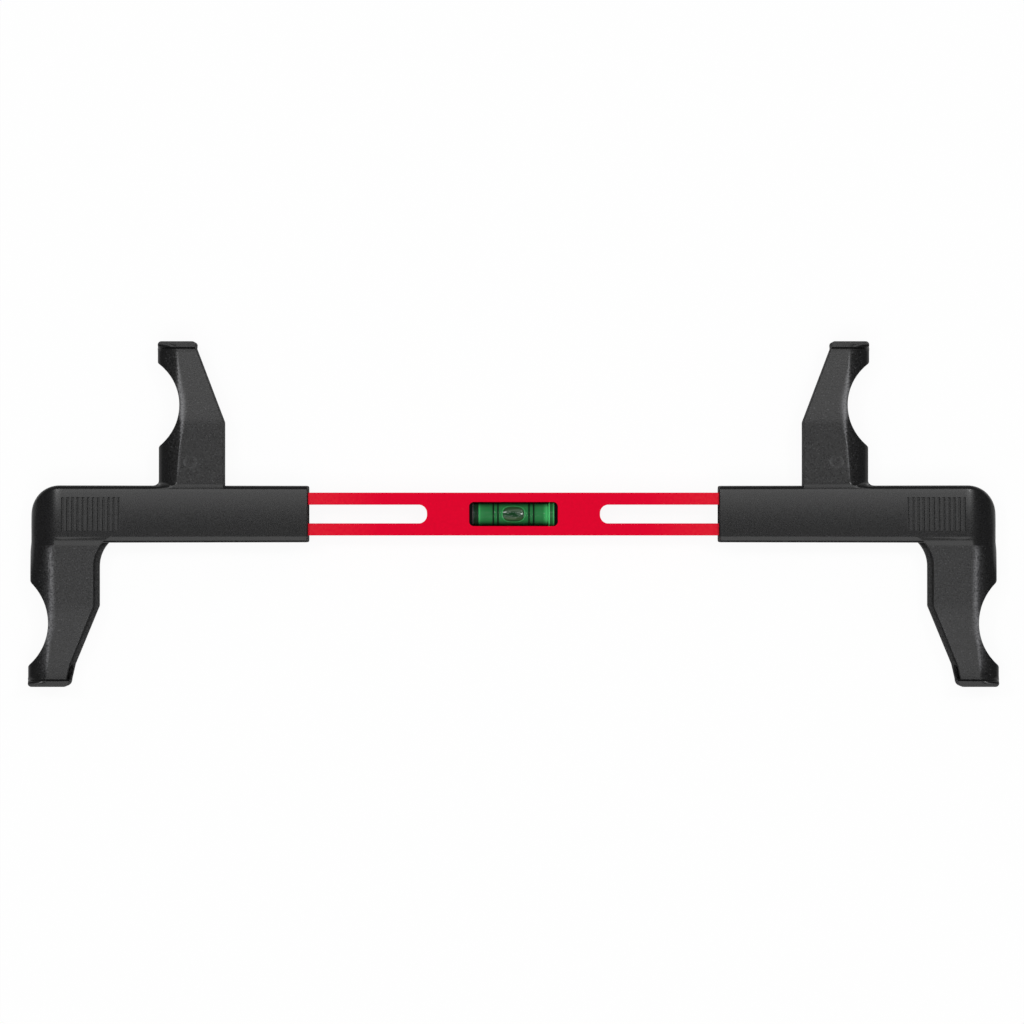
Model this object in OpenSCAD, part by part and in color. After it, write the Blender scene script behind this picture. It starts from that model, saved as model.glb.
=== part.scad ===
// Steering wheel level: a slotted bar with a bubble vial, and two sprung arms that slide on it.
// The notches of the arms' fingers press against the inside of a wheel's rim.
// It lies on its back: X runs along the bar, Y up its face, Z out of its front. Millimetres.
// Each arm is drawn on the +X side, and the left one is its mirror image.

/* [Vial] */
// Outer diameter of the vial
vial_diameter = 10; // [8:0.5:12]
// Length of the vial
vial_length = 30.8; // [28:0.2:40]
// Wall of the vial's barrel
vial_wall = 1.2; // [1:0.1:1.5]
// Thickness of the vial's plug and of its closed end
vial_end = 2.3; // [1.5:0.1:3]
// Distance from the middle to the inner reading lines
line_offset = 5.8; // [5:0.1:6.5]
// Clear distance between the two lines of a pair
line_gap = 1.25; // [1:0.05:2]
// Width of a reading line
line_width = 0.5; // [0.3:0.1:0.8]
// Radius of the bubble's underside
bubble_radius = 5.4; // [4.5:0.1:6]
// Depth of the bubble below the top of the vial's bore
bubble_depth = 2.9; // [2:0.1:3.2]

/* [Bar] */
// Metal above and below the vial
bar_rail = 3; // [2.5:0.1:5]
// Depth of the vial below the bar's front face
vial_recess = 0.6; // [0.3:0.1:1.5]
// Thickness of the bed behind the vial
bed_floor = 1.4; // [1:0.1:3]
// Edge of the window that laps over the vial
window_lip = 0.5; // [0.3:0.1:1]
// Gap between an end of the vial and the end of its window
window_gap = 1.15; // [0.9:0.05:2]
// Bar left whole between the window and each slot
slot_land = 15.75; // [10:0.25:30]
// Height of the slots
slot_height = 7; // [6.4:0.1:9]
// Bar beyond the outer end of each slot's travel
bar_tail = 18.7; // [15:0.1:30]

/* [Arms] */
// How far each arm slides in
arm_travel = 49.5; // [30:0.5:60]
// Wall of the sleeves
sleeve_wall = 2.4; // [2:0.1:4]
// Sleeve from its mouth to the stop bush
mouth_length = 8.3; // [6:0.1:12]
// Length of the closed spring
closed_spring = 19.3; // [15:0.1:30]
// Solid end of the sleeve beyond the spring
sleeve_end_wall = 6.3; // [5:0.1:10]
// Radius of the sleeve's outer upper corner
end_corner = 10; // [7:0.5:10]
// Radius of the sleeve's long edges
sleeve_edge = 1.6; // [0.8:0.1:2.2]

/* [Fingers] */
// Distance from the bar's axis to the finger tips
finger_reach = 64.5; // [62:0.1:75]
// Width of a finger at its root
finger_width = 24.5; // [22:0.5:30]
// Width of a finger at its tip
tip_width = 13.7; // [13:0.1:18]
// Distance from the sleeve's mouth to the upper finger
upper_finger_place = 31.3; // [25:0.1:45]
// Radius of the rim notches
notch_radius = 20; // [15:0.5:21]
// Distance from the bar's axis to the middle of a notch
notch_height = 40.6; // [38:0.1:44]
// Depth of the upper notches
upper_notch_depth = 8.4; // [6:0.1:9]
// Depth of the lower notches
lower_notch_depth = 7.3; // [6:0.1:9]
// Distance from the bar's axis to the ridge across a finger
ridge_height = 34; // [28:0.5:40]
// Thickness of a finger at its ridge
ridge_thickness = 15.8; // [14:0.1:16.6]
// Thickness of an upper finger at its root
upper_root_thickness = 12.6; // [12:0.1:13.8]
// Thickness of a lower finger at its root
lower_root_thickness = 15.8; // [14:0.1:16.6]
// Thickness of a finger at its tip
tip_thickness = 12.6; // [12:0.1:13.8]
// Wall of the hollow fingers
finger_wall = 2.3; // [1.8:0.1:2.6]

/* [Grip ribs] */
// Number of grooves in each grip
groove_count = 12; // [6:1:14]
// Distance between grooves
groove_pitch = 1.92; // [1.5:0.01:2.2]
// Length of the grooves
groove_length = 12.6; // [8:0.2:14]
// Width of a groove
groove_width = 0.5; // [0.3:0.1:0.8]
// Depth of a groove
groove_depth = 0.5; // [0.3:0.1:0.8]

/* [Fasteners] */
// Diameter of the shell and stop screws
screw_diameter = 3; // [2.5:0.1:3.2]
// Diameter of those screws' heads
head_diameter = 5.6; // [5:0.1:6]
// Height of the shell screws' heads
head_height = 2; // [1.6:0.1:2.2]
// Shell screw from its seat to the joint between the shells
screw_grip = 3.6; // [3:0.1:4]
// Shell screw from that joint to its point
screw_bite = 4.8; // [3.5:0.1:5]
// Diameter of the bed's screws
bed_screw_diameter = 2.2; // [1.8:0.1:2.5]
// Length of the bed's screws below their heads
bed_screw_length = 6.5; // [4:0.1:7]

/* [Hidden] */
$fn = 72;
over = 1;
slide_gap = 0.1;
fit_gap = 0.03;
seat_gap = 0.1;
slot_gap = 0.05;
drill_gap = 0.3;

vial_radius = vial_diameter / 2;
vial_bore = vial_radius - vial_wall;
fluid_length = vial_length - 2 * vial_end;
line_depth = 0.1;
line_places = [for (side = [-1, 1], step = [0, 1]) side * (line_offset + step * (line_gap + line_width))];

bar_height = vial_diameter + 2 * bar_rail;
bar_thickness = vial_recess + vial_diameter + bed_floor;
bore_height = bar_height + 2 * slide_gap;
bore_depth = bar_thickness + 2 * slide_gap;
sleeve_height = bore_height + 2 * sleeve_wall;
sleeve_depth = bore_depth + 2 * sleeve_wall;
middle_z = sleeve_depth / 2;
bar_back = middle_z - bar_thickness / 2;
bar_front = middle_z + bar_thickness / 2;
vial_axis = bar_front - vial_recess - vial_radius;

pocket_radius = vial_radius + seat_gap;
window_end = vial_length / 2 + window_gap;
window_corner = 1.7;
ear_length = 5.5;
ear_depth = 3;
ear_end = window_end + ear_length;
bed_screw_place = window_end + ear_length / 2;
bed_head_diameter = 2 * bed_screw_diameter;
bed_head_height = 1.4;
bed_end_height = 2;

slot_start = window_end + slot_land;
slot_inner = slot_start + slot_height / 2;
stop_place = slot_inner + arm_travel;
bar_end = stop_place + bar_tail;
bush_diameter = slot_height - 2 * slot_gap;
post_diameter = 4.8;
stop_head_depth = 1.4;
stop_head_sink = 0.2;
stop_screw_reach = 2;

collar_length = 1.2;
collar_diameter = 10;
nose_diameter = 6;
nose_length = 7;
shank_diameter = 5;
shank_length = 8;
spring_wire = 0.9;
spring_gap = 0.45;
spring_inner = nose_diameter + 2 * spring_gap;
spring_outer = spring_inner + 2 * spring_wire;
spring_post_length = 6;

sleeve_mouth = stop_place - mouth_length;
chamber_end = bar_end + collar_length + arm_travel + closed_spring;
sleeve_end = chamber_end + sleeve_end_wall;
end_round_run = 10;
end_round_drop = 5;
end_round_radius = (end_round_run ^ 2 + end_round_drop ^ 2) / (2 * end_round_drop);

upper_outer = sleeve_mouth + upper_finger_place + finger_width;
lower_overhang = 0.2;
lower_outer = sleeve_end + lower_overhang;
tip_flare = 1;
heel_length = 8.3;
heel_lean = 1.5;
heel_corner = 2.7;
front_step = 0.8;
elbow_radius = 12.75;
elbow_height = 19.5;
lip_length = 2.5;
lip_rise = 0.9;
lip_start = finger_reach - lip_length;
edge_land = 5;
bevel_slope = 0.57;
hollow_half = min(upper_root_thickness, tip_thickness) / 2 - finger_wall;
hollow_start = sleeve_height / 2 + 1.5;
hollow_reach = 11;
hollow_end = notch_height + hollow_reach;
slant_wall = 1.2 * finger_wall;
hollow_setback = (hollow_half - edge_land / 2) / bevel_slope + slant_wall;
tip_recess_length = 6;
tip_recess_depth = 2;
tip_recess_height = 5;
tip_recess_margin = 0.8;

boss_diameter = 6.6;
root_screw_height = 19.5;
tip_screw_setback = 4.9;
tip_screw_height = lip_start - tip_screw_setback;
groove_margin = 2;
groove_start = sleeve_end - end_round_run - groove_margin;
cross_length = 0.6;
cross_width = 0.16;

// A box from one corner to another
module box(low, high) {
    translate(low) cube(high - low);
}

// A cylinder along X that starts at a given place
module rod(start, length, diameter) {
    translate([start, 0, 0]) rotate([0, 90, 0]) cylinder(d = diameter, h = length);
}

// The same shape on both sides of the middle
module both_sides() {
    children();
    mirror([1, 0, 0]) children();
}

// A flat profile drawn in Y and Z, run along X between two places
module run_along_x(start, end) {
    translate([start, 0, 0]) rotate([90, 0, 90]) linear_extrude(height = end - start) children();
}

// A flat profile drawn in X and Z, run along Y between two places
module run_along_y(start, end) {
    translate([0, end, 0]) rotate([90, 0, 0]) linear_extrude(height = end - start) children();
}

// Rectangle with round corners, centred
module round_rectangle(width, height, radius) {
    square([width - 2 * radius, height], center = true);
    square([width, height - 2 * radius], center = true);
    for (x = [-1, 1], y = [-1, 1])
        translate([x * (width / 2 - radius), y * (height / 2 - radius)]) circle(r = radius);
}

// Inner edge of a finger, at a height above the bar's axis
function finger_inner(outer, height) =
    outer - finger_width
    + max(0, height - ridge_height) * (finger_width - tip_width) / (lip_start - ridge_height);

// Place midway between the notch and the inner edge of a finger's tip
function tip_screw_place(outer, notch_depth) =
    let (drop = tip_screw_height - notch_height)
    let (notch_wall = outer - notch_depth + notch_radius - sqrt(max(0, notch_radius ^ 2 - drop ^ 2)))
    (finger_inner(outer, tip_screw_height) + min(notch_wall, outer - edge_land)) / 2;

// Places of one arm's shell screws
function shell_screw_places() = [
    [upper_outer - finger_width / 2, root_screw_height],
    [tip_screw_place(upper_outer, upper_notch_depth), tip_screw_height],
    [lower_outer - finger_width / 2, -root_screw_height],
    [tip_screw_place(lower_outer, lower_notch_depth), -tip_screw_height]
];

// Corners of an upper finger's tip on its inner side
function upper_tip(outer) = [
    [finger_inner(outer, lip_start), lip_start],
    [finger_inner(outer, lip_start), finger_reach]
];

// Corners of a lower finger's tip on its inner side, which ends in a heel; a step sets them back
function lower_tip(outer, step) =
    let (heel = finger_inner(outer, finger_reach - heel_length) + step)
    [
        [heel, finger_reach - heel_length],
        [heel + heel_lean, finger_reach - heel_corner],
        [heel + heel_lean + heel_corner, finger_reach]
    ];

// Outline of a finger; a lower one has a flare outside its notch, and a step sets its inner edge back
module finger_outline(outer, lower, step) {
    side = outer + (lower ? tip_flare : 0);
    tip = lower ? lower_tip(outer, step) : upper_tip(outer);
    polygon(concat(
        [
            [finger_inner(outer, 0) + step, 0],
            [finger_inner(outer, ridge_height) + step, ridge_height]
        ],
        tip,
        [
            [side, finger_reach],
            [side, notch_height],
            [outer, notch_height],
            [outer, 0]
        ]
    ));
    if (lower) translate([tip[2][0], tip[1][1]]) circle(r = heel_corner);
}

// Side view of a finger: it reaches its full thickness at its ridge, thins to its tip and ends in a lip
module finger_profile(root_thickness) {
    lip_half = tip_thickness / 2 + lip_rise;
    upper_side = [
        [0, root_thickness / 2],
        [ridge_height, ridge_thickness / 2],
        [lip_start, tip_thickness / 2],
        [lip_start, lip_half],
        [finger_reach, lip_half]
    ];
    count = len(upper_side);
    lower_side = [for (i = [count - 1:-1:0]) [upper_side[i][0], -upper_side[i][1]]];
    polygon(concat(upper_side, lower_side));
}

// Cross section of a finger: bevels run from its faces to a narrow outer edge
module bevel_profile(outer) {
    half = ridge_thickness / 2;
    run = (half - edge_land / 2) / bevel_slope;
    inner = outer - finger_width - elbow_radius;
    polygon([
        [inner, -half],
        [outer - run, -half],
        [outer, -edge_land / 2],
        [outer, edge_land / 2],
        [outer - run, half],
        [inner, half]
    ]);
}

// Rim notch of a finger, widened by a margin
module notch(outer, depth, margin) {
    translate([outer - depth + notch_radius, notch_height, -sleeve_depth])
        cylinder(r = notch_radius + margin, h = 2 * sleeve_depth);
}

// Fillet between the lower finger's inner edge and the sleeve
module elbow(inner) {
    difference() {
        translate([inner - elbow_radius, 0, -ridge_thickness / 2])
            cube([elbow_radius + over, elbow_height, ridge_thickness]);
        translate([inner - elbow_radius, elbow_height, -sleeve_depth])
            cylinder(r = elbow_radius, h = 2 * sleeve_depth);
    }
}

// Solid finger pointing up, with its middle plane at zero
module finger(outer, notch_depth, lower, step) {
    inner = outer - finger_width;
    side = outer + (lower ? tip_flare : 0);
    root_thickness = lower ? lower_root_thickness : upper_root_thickness;
    difference() {
        intersection() {
            union() {
                linear_extrude(height = ridge_thickness, center = true) finger_outline(outer, lower, step);
                if (lower) elbow(inner + step);
            }
            run_along_x(inner - elbow_radius, side) finger_profile(root_thickness);
            run_along_y(0, finger_reach) bevel_profile(side);
        }
        notch(outer, notch_depth, 0);
    }
}

// Hollow inside a finger, with a boss left for the screw at its root
module finger_hollow(outer, notch_depth) {
    inner = outer - finger_width + finger_wall;
    difference() {
        linear_extrude(height = 2 * hollow_half, center = true)
            polygon([
                [inner, hollow_start],
                [inner, ridge_height],
                [finger_inner(outer, hollow_end) + slant_wall, hollow_end],
                [outer - hollow_setback, hollow_end],
                [outer - hollow_setback, hollow_start]
            ]);
        notch(outer, notch_depth, finger_wall);
        translate([outer - finger_width / 2, root_screw_height, -sleeve_depth])
            cylinder(d = boss_diameter, h = 2 * sleeve_depth);
    }
}

// Recess in the inner side of a lower finger, next to its tip
module tip_recess(outer) {
    lean = atan((finger_width - tip_width) / (lip_start - ridge_height));
    translate([finger_inner(outer, lip_start), lip_start, 0]) rotate([0, 0, -lean])
        box(
            [-tip_recess_depth, -tip_recess_length, -tip_recess_height / 2],
            [tip_recess_depth, -tip_recess_margin, tip_recess_height / 2]
        );
}

// Outside of the sleeve, with its middle plane at zero
module sleeve_outside() {
    straight_end = sleeve_end - end_round_run;
    half = sleeve_height / 2;
    intersection() {
        run_along_x(sleeve_mouth, sleeve_end) round_rectangle(sleeve_height, sleeve_depth, sleeve_edge);
        union() {
            box([sleeve_mouth, -half, -middle_z], [sleeve_end - end_corner, half, middle_z]);
            box([sleeve_mouth, -half, -middle_z], [sleeve_end, half - end_corner, middle_z]);
            translate([sleeve_end - end_corner, half - end_corner, -middle_z])
                cylinder(r = end_corner, h = sleeve_depth);
        }
        union() {
            box([sleeve_mouth, -half, -middle_z], [straight_end, half, middle_z]);
            intersection() {
                box([straight_end - over, -half, -middle_z], [sleeve_end, half, middle_z]);
                for (side = [-1, 1])
                    translate([straight_end, half, side * (middle_z - end_round_radius)])
                        rotate([90, 0, 0]) cylinder(r = end_round_radius, h = sleeve_height);
            }
        }
    }
}

// Both halves of an arm as one hollow piece, with its middle plane at zero
module arm(step) {
    difference() {
        union() {
            sleeve_outside();
            finger(upper_outer, upper_notch_depth, false, 0);
            mirror([0, 1, 0]) finger(lower_outer, lower_notch_depth, true, step);
        }
        box(
            [sleeve_mouth - over, -bore_height / 2, -bore_depth / 2],
            [chamber_end, bore_height / 2, bore_depth / 2]
        );
        finger_hollow(upper_outer, upper_notch_depth);
        mirror([0, 1, 0]) finger_hollow(lower_outer, lower_notch_depth);
        mirror([0, 1, 0]) tip_recess(lower_outer);
    }
    rod(chamber_end - spring_post_length, spring_post_length + over, nose_diameter);
}

// Grooves of the thumb grip, cut down from the sleeve's front
module grip_grooves() {
    for (i = [0:groove_count - 1])
        translate([groove_start - i * groove_pitch, 0, middle_z])
            cube([groove_width, groove_length, 2 * groove_depth], center = true);
}

// Space for one half of an arm, from a given height up by the sleeve's depth
module half_space(bottom) {
    far = sleeve_end + finger_width;
    translate([0, -finger_reach - over, bottom]) cube([far, 2 * (finger_reach + over), sleeve_depth]);
}

// Front half of an arm, with the post that passes through the bar's slot
module front_shell() {
    translate([0, 0, middle_z]) difference() {
        union() {
            intersection() {
                arm(front_step);
                half_space(0);
            }
            translate([stop_place, 0, -bore_depth / 2]) cylinder(d = post_diameter, h = bore_depth + over);
        }
        grip_grooves();
        translate([stop_place, 0, stop_screw_reach + drill_gap - bore_depth])
            cylinder(d = screw_diameter + 2 * fit_gap, h = bore_depth);
        for (place = shell_screw_places())
            translate([place[0], place[1], -over])
                cylinder(d = screw_diameter + 2 * fit_gap, h = over + screw_bite + drill_gap);
    }
}

// Back half of an arm, with counterbores for the screws
module back_shell() {
    translate([0, 0, middle_z]) difference() {
        intersection() {
            arm(0);
            half_space(-sleeve_depth);
        }
        for (place = shell_screw_places())
            translate([place[0], place[1], -sleeve_depth]) {
                cylinder(d = screw_diameter + 2 * fit_gap, h = 2 * sleeve_depth);
                cylinder(d = head_diameter + 2 * seat_gap, h = sleeve_depth - screw_grip);
            }
        translate([stop_place, 0, -middle_z]) stop_screw_shape(fit_gap, stop_head_sink + over);
    }
}

// One bar of the cross recess in a screw's head
module cross_bar(head_width, depth) {
    cube([cross_length * head_width, cross_width * head_width, depth], center = true);
}

// Pan head screw pointing up, with a cross recess, from its seat at zero
module pan_screw(diameter, length, head_width, head_high) {
    difference() {
        union() {
            cylinder(d = diameter, h = length);
            translate([0, 0, -head_high]) cylinder(d = head_width, h = head_high);
        }
        for (turn = [0, 90])
            rotate([0, 0, turn]) translate([0, 0, -head_high]) cross_bar(head_width, head_high);
    }
}

// Countersunk screw pointing up from the sleeve's back; the margin widens it and the lead adds a mouth
module stop_screw_shape(margin, lead) {
    head = head_diameter / 2 + margin;
    shank = screw_diameter / 2 + margin;
    translate([0, 0, stop_head_sink]) cylinder(r1 = head, r2 = shank, h = stop_head_depth);
    translate([0, 0, stop_head_sink]) cylinder(r = shank, h = middle_z + stop_screw_reach - stop_head_sink);
    if (lead > 0) translate([0, 0, stop_head_sink - lead]) cylinder(r = head, h = lead);
}

// The four shell screws of an arm
module shell_screws() {
    color("dimgray")
        for (place = shell_screw_places())
            translate([place[0], place[1], middle_z - screw_grip])
                pan_screw(screw_diameter, screw_grip + screw_bite, head_diameter, head_height);
}

// Screw that ties the sleeve's back to the post in the slot
module stop_screw() {
    color("dimgray") difference() {
        translate([stop_place, 0, 0]) stop_screw_shape(0, 0);
        for (turn = [0, 90])
            translate([stop_place, 0, stop_head_sink]) rotate([0, 0, turn])
                cross_bar(head_diameter, stop_head_depth);
    }
}

// Bush round the post, which runs in the slot and ends the travel
module stop_bush() {
    color("silver") translate([stop_place, 0, middle_z - bore_depth / 2 + seat_gap / 2]) difference() {
        cylinder(d = bush_diameter, h = bore_depth - seat_gap);
        translate([0, 0, -over]) cylinder(d = post_diameter + 2 * fit_gap, h = bore_depth + 2 * over);
    }
}

// Return spring at its length with the arm fully out, as a plain tube because the sleeve hides it
module spring() {
    start = bar_end + collar_length;
    color("silver") translate([0, 0, middle_z]) difference() {
        rod(start, chamber_end - start, spring_outer);
        rod(start - over, chamber_end - start + 2 * over, spring_inner);
    }
}

// Stud in the bar's end: its collar carries the spring and its nose centres it
module spigot() {
    color("goldenrod") translate([0, 0, middle_z]) {
        rod(bar_end - shank_length, shank_length + collar_length + nose_length, shank_diameter);
        rod(bar_end, collar_length, collar_diameter);
        rod(bar_end, collar_length + nose_length, nose_diameter);
    }
}

// Window in the bar's front, cut down to the vial's axis
module window_cut() {
    translate([0, 0, vial_axis]) linear_extrude(height = bar_thickness)
        round_rectangle(2 * window_end, vial_diameter - 2 * window_lip, window_corner);
}

// Pocket in the bar's back for the vial, its bed and the bed's ears
module vial_pocket() {
    translate([0, 0, vial_axis]) rod(-window_end, 2 * window_end, 2 * pocket_radius);
    box([-window_end, -pocket_radius, bar_back - over], [window_end, pocket_radius, vial_axis]);
    box([-ear_end, -pocket_radius, bar_back - over], [ear_end, pocket_radius, bar_back + ear_depth]);
}

// Slot of one side, with round ends
module slot_cut() {
    for (place = [slot_inner, stop_place])
        translate([place, 0, 0]) cylinder(d = slot_height, h = sleeve_depth);
    box([slot_inner, -slot_height / 2, 0], [stop_place, slot_height / 2, sleeve_depth]);
}

module bar() {
    color("crimson") difference() {
        box([-bar_end, -bar_height / 2, bar_back], [bar_end, bar_height / 2, bar_front]);
        window_cut();
        vial_pocket();
        both_sides() {
            slot_cut();
            translate([0, 0, middle_z])
                rod(bar_end - shank_length - seat_gap, shank_length + over, shank_diameter + 2 * fit_gap);
            translate([bed_screw_place, 0, 0])
                cylinder(d = bed_screw_diameter + 2 * fit_gap,
                         h = bar_back + bed_head_height + bed_screw_length + drill_gap);
        }
    }
}

// Rings printed round the vial, thickened inward by a margin
module line_rings(margin) {
    for (place = line_places)
        difference() {
            rod(place - line_width / 2, line_width, vial_diameter + 2 * margin);
            rod(place - line_width, 2 * line_width, vial_diameter - 2 * line_depth);
        }
}

// Clear barrel, closed at its right end
module vial_barrel() {
    color("palegreen") translate([0, 0, vial_axis]) difference() {
        rod(-vial_length / 2, vial_length, vial_diameter);
        rod(-vial_length / 2 - over, vial_length - vial_end + over, 2 * vial_bore);
        line_rings(over);
    }
}

// Plug that closes the barrel's left end
module vial_plug() {
    color("darkslategray") translate([0, 0, vial_axis])
        rod(-vial_length / 2, vial_end, 2 * vial_bore);
}

module vial_lines() {
    color("black") translate([0, 0, vial_axis]) line_rings(0);
}

// Air bubble: the bore bounds it above and a round surface below
module bubble_shape(margin) {
    top = vial_axis + vial_bore - fit_gap;
    intersection() {
        translate([0, 0, vial_axis]) rod(-fluid_length / 2, fluid_length, 2 * (vial_bore - fit_gap + margin));
        translate([0, 0, top - bubble_depth + bubble_radius]) sphere(r = bubble_radius + margin);
    }
}

module bubble() {
    color("honeydew") bubble_shape(0);
}

// Liquid that fills the bore round the bubble
module vial_fluid() {
    color("limegreen") difference() {
        translate([0, 0, vial_axis]) rod(-fluid_length / 2, fluid_length, 2 * vial_bore);
        bubble_shape(fit_gap);
    }
}

// Bed that holds the vial up to its window, with ends that keep it from sliding and ears for screws
module vial_carrier() {
    half = pocket_radius - seat_gap;
    end = window_end - seat_gap;
    color("dimgray") difference() {
        union() {
            box([-end, -half, bar_back], [end, half, vial_axis - vial_radius / 2]);
            box([-ear_end + seat_gap, -half, bar_back], [ear_end - seat_gap, half, bar_back + ear_depth]);
            intersection() {
                box([-end, -half, bar_back], [end, half, vial_axis + bed_end_height]);
                translate([0, 0, vial_axis]) rod(-end, 2 * end, 2 * half);
            }
        }
        translate([0, 0, vial_axis])
            rod(-vial_length / 2 - seat_gap, vial_length + 2 * seat_gap, vial_diameter + 2 * fit_gap);
        both_sides() translate([bed_screw_place, 0, bar_back - over]) {
            cylinder(d = bed_screw_diameter + 2 * seat_gap, h = bar_thickness);
            cylinder(d = bed_head_diameter + 2 * seat_gap, h = over + bed_head_height);
        }
    }
}

module carrier_screws() {
    color("silver") both_sides()
        translate([bed_screw_place, 0, bar_back + bed_head_height])
            pan_screw(bed_screw_diameter, bed_screw_length, bed_head_diameter, bed_head_height);
}

module left_spigot() { mirror([1, 0, 0]) spigot(); }
module right_spigot() { spigot(); }
module left_front_shell() { color("dimgray") mirror([1, 0, 0]) front_shell(); }
module right_front_shell() { color("dimgray") front_shell(); }
module left_back_shell() { color("dimgray") mirror([1, 0, 0]) back_shell(); }
module right_back_shell() { color("dimgray") back_shell(); }
module left_shell_screws() { mirror([1, 0, 0]) shell_screws(); }
module right_shell_screws() { shell_screws(); }
module left_stop_screw() { mirror([1, 0, 0]) stop_screw(); }
module right_stop_screw() { stop_screw(); }
module left_stop_bush() { mirror([1, 0, 0]) stop_bush(); }
module right_stop_bush() { stop_bush(); }
module left_spring() { mirror([1, 0, 0]) spring(); }
module right_spring() { spring(); }

bar();
vial_barrel();
vial_fluid();
vial_plug();
vial_lines();
vial_carrier();
carrier_screws();
left_spigot();
right_spigot();
bubble();
left_front_shell();
left_back_shell();
left_shell_screws();
left_stop_screw();
left_stop_bush();
left_spring();
right_front_shell();
right_back_shell();
right_shell_screws();
right_stop_screw();
right_stop_bush();
right_spring();
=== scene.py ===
import math
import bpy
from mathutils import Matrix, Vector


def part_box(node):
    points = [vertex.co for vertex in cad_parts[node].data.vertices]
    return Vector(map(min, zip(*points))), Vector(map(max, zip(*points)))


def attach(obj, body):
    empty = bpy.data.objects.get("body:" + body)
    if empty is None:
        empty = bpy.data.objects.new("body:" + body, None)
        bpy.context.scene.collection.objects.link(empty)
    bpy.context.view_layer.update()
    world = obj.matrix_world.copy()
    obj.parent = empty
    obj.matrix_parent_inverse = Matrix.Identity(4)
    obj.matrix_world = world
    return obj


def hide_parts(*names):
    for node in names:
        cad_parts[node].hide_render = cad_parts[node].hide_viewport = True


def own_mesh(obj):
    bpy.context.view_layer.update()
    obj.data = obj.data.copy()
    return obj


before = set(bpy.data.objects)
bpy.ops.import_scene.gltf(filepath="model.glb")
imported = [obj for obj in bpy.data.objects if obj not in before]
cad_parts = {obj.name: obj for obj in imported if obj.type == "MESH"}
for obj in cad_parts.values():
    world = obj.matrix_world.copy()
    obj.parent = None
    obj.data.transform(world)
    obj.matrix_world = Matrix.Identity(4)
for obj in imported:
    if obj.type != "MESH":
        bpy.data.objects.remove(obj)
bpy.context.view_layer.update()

from types import SimpleNamespace

import bmesh
import bpy
from bpy.props import FloatProperty, FloatVectorProperty, IntProperty, PointerProperty
from mathutils import Vector

# Steering wheel level: a red slotted bar with a bubble vial, and two black sprung arms that slide on it.
# Pieces are modelled in millimetres in the frame of the CAD model and shrunk to metres when finished.
# X runs along the bar, Y up its face and Z out of its front. Arms are modelled on +X and mirrored.

bl_info = {
    "name": "Steering wheel level",
    "version": (1, 0, 0),
    "blender": (4, 5, 0),
    "location": "3D View > Sidebar > Wheel level",
    "description": "Dresses the bar, the vial and the sliding arms of a steering wheel level",
    "category": "Object",
}

MILLIMETRE = 0.001
SIDES = ("left", "right")
# Cutters stand out of what they cut by OVER, and places closer than NEAR count as the same.
OVER = 1.0
NEAR = 0.01
SHARP_ANGLE = math.radians(60)
SMOOTH_ANGLE = math.radians(35)


def box_of(node):
    """Lowest and highest corner of a CAD node, in millimetres."""
    low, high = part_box(node)
    return low / MILLIMETRE, high / MILLIMETRE


BAR_LOW, BAR_HIGH = box_of("bar")
COVER_HIGH = box_of("right_front_shell")[1]
BARREL_LOW, BARREL_HIGH = box_of("vial_barrel")
FLUID_LOW, FLUID_HIGH = box_of("vial_fluid")
SPRING_LOW, SPRING_HIGH = box_of("right_spring")
# Heights of the joint between the covers, of the front and of the vial's axis, and the fingers' reach.
PARTING = box_of("right_back_shell")[1].z
FRONT = COVER_HIGH.z
VIAL_AXIS = (BARREL_LOW.z + BARREL_HIGH.z) / 2
REACH = COVER_HIGH.y
STOP_PLACE = sum(corner.x for corner in box_of("right_stop_bush")) / 2


# Sizes and colours


def length(name, description, millimetres):
    """A length that a user may change, given in millimetres and kept in metres."""
    return FloatProperty(
        name=name,
        description=description,
        default=millimetres * MILLIMETRE,
        min=0,
        unit="LENGTH",
        precision=5,
    )


def colour(name, description, default):
    """A colour that a user may change."""
    return FloatVectorProperty(
        name=name, description=description, default=default, size=3, min=0, max=1, subtype="COLOR"
    )


class LevelSleeveSizes(bpy.types.PropertyGroup):
    """Sizes of the sleeves that run on the bar."""

    height: length("Height", "Height of the sleeve, across the bar", 21.4)
    draft: length("Draft", "How much lower each side of the sleeve is at its mouth", 0.15)
    mouth: length("Mouth", "Distance from the middle to the sleeve's mouth", 76.7)
    end: length("Outer end", "Distance from the middle to the sleeve's outer end", 180.3)
    upper_edge: length("Upper edge", "Radius of the sleeve's upper long edge", 1.6)
    lower_edge: length("Lower edge", "Radius of the sleeve's lower long edge", 0.9)
    slope_run: length("Slope run", "Width of the slope along the front's lower edge", 2.2)
    slope_drop: length("Slope drop", "How far the front falls over that slope", 0.35)
    fall: length("Fall", "How far the front falls towards its upper edge", 0.7)
    relief: length("Relief", "How far the front lies below the tops of the grip's ribs", 0.1)
    corner: length("Outer corner", "Radius of the outer upper corner", 10.8)
    end_run: length("End rounding", "Length of the rounding at the outer end", 12)
    end_drop: length("End drop", "How far the outer end is rounded down", 5)
    end_edge: length("End edge", "Radius round the flat outer end", 1)
    mouth_edge: length("Mouth edge", "Radius round the mouth", 0.6)
    bore_height: length("Bore height", "Height of the bore for the bar", 16.2)
    bore_depth: length("Bore depth", "Depth of the bore for the bar", 12.2)
    bore_end: length("Bore end", "Distance from the middle to the end of the bore", 174)
    seam: length("Seam", "Chamfer where the two covers meet", 0.15)


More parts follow.
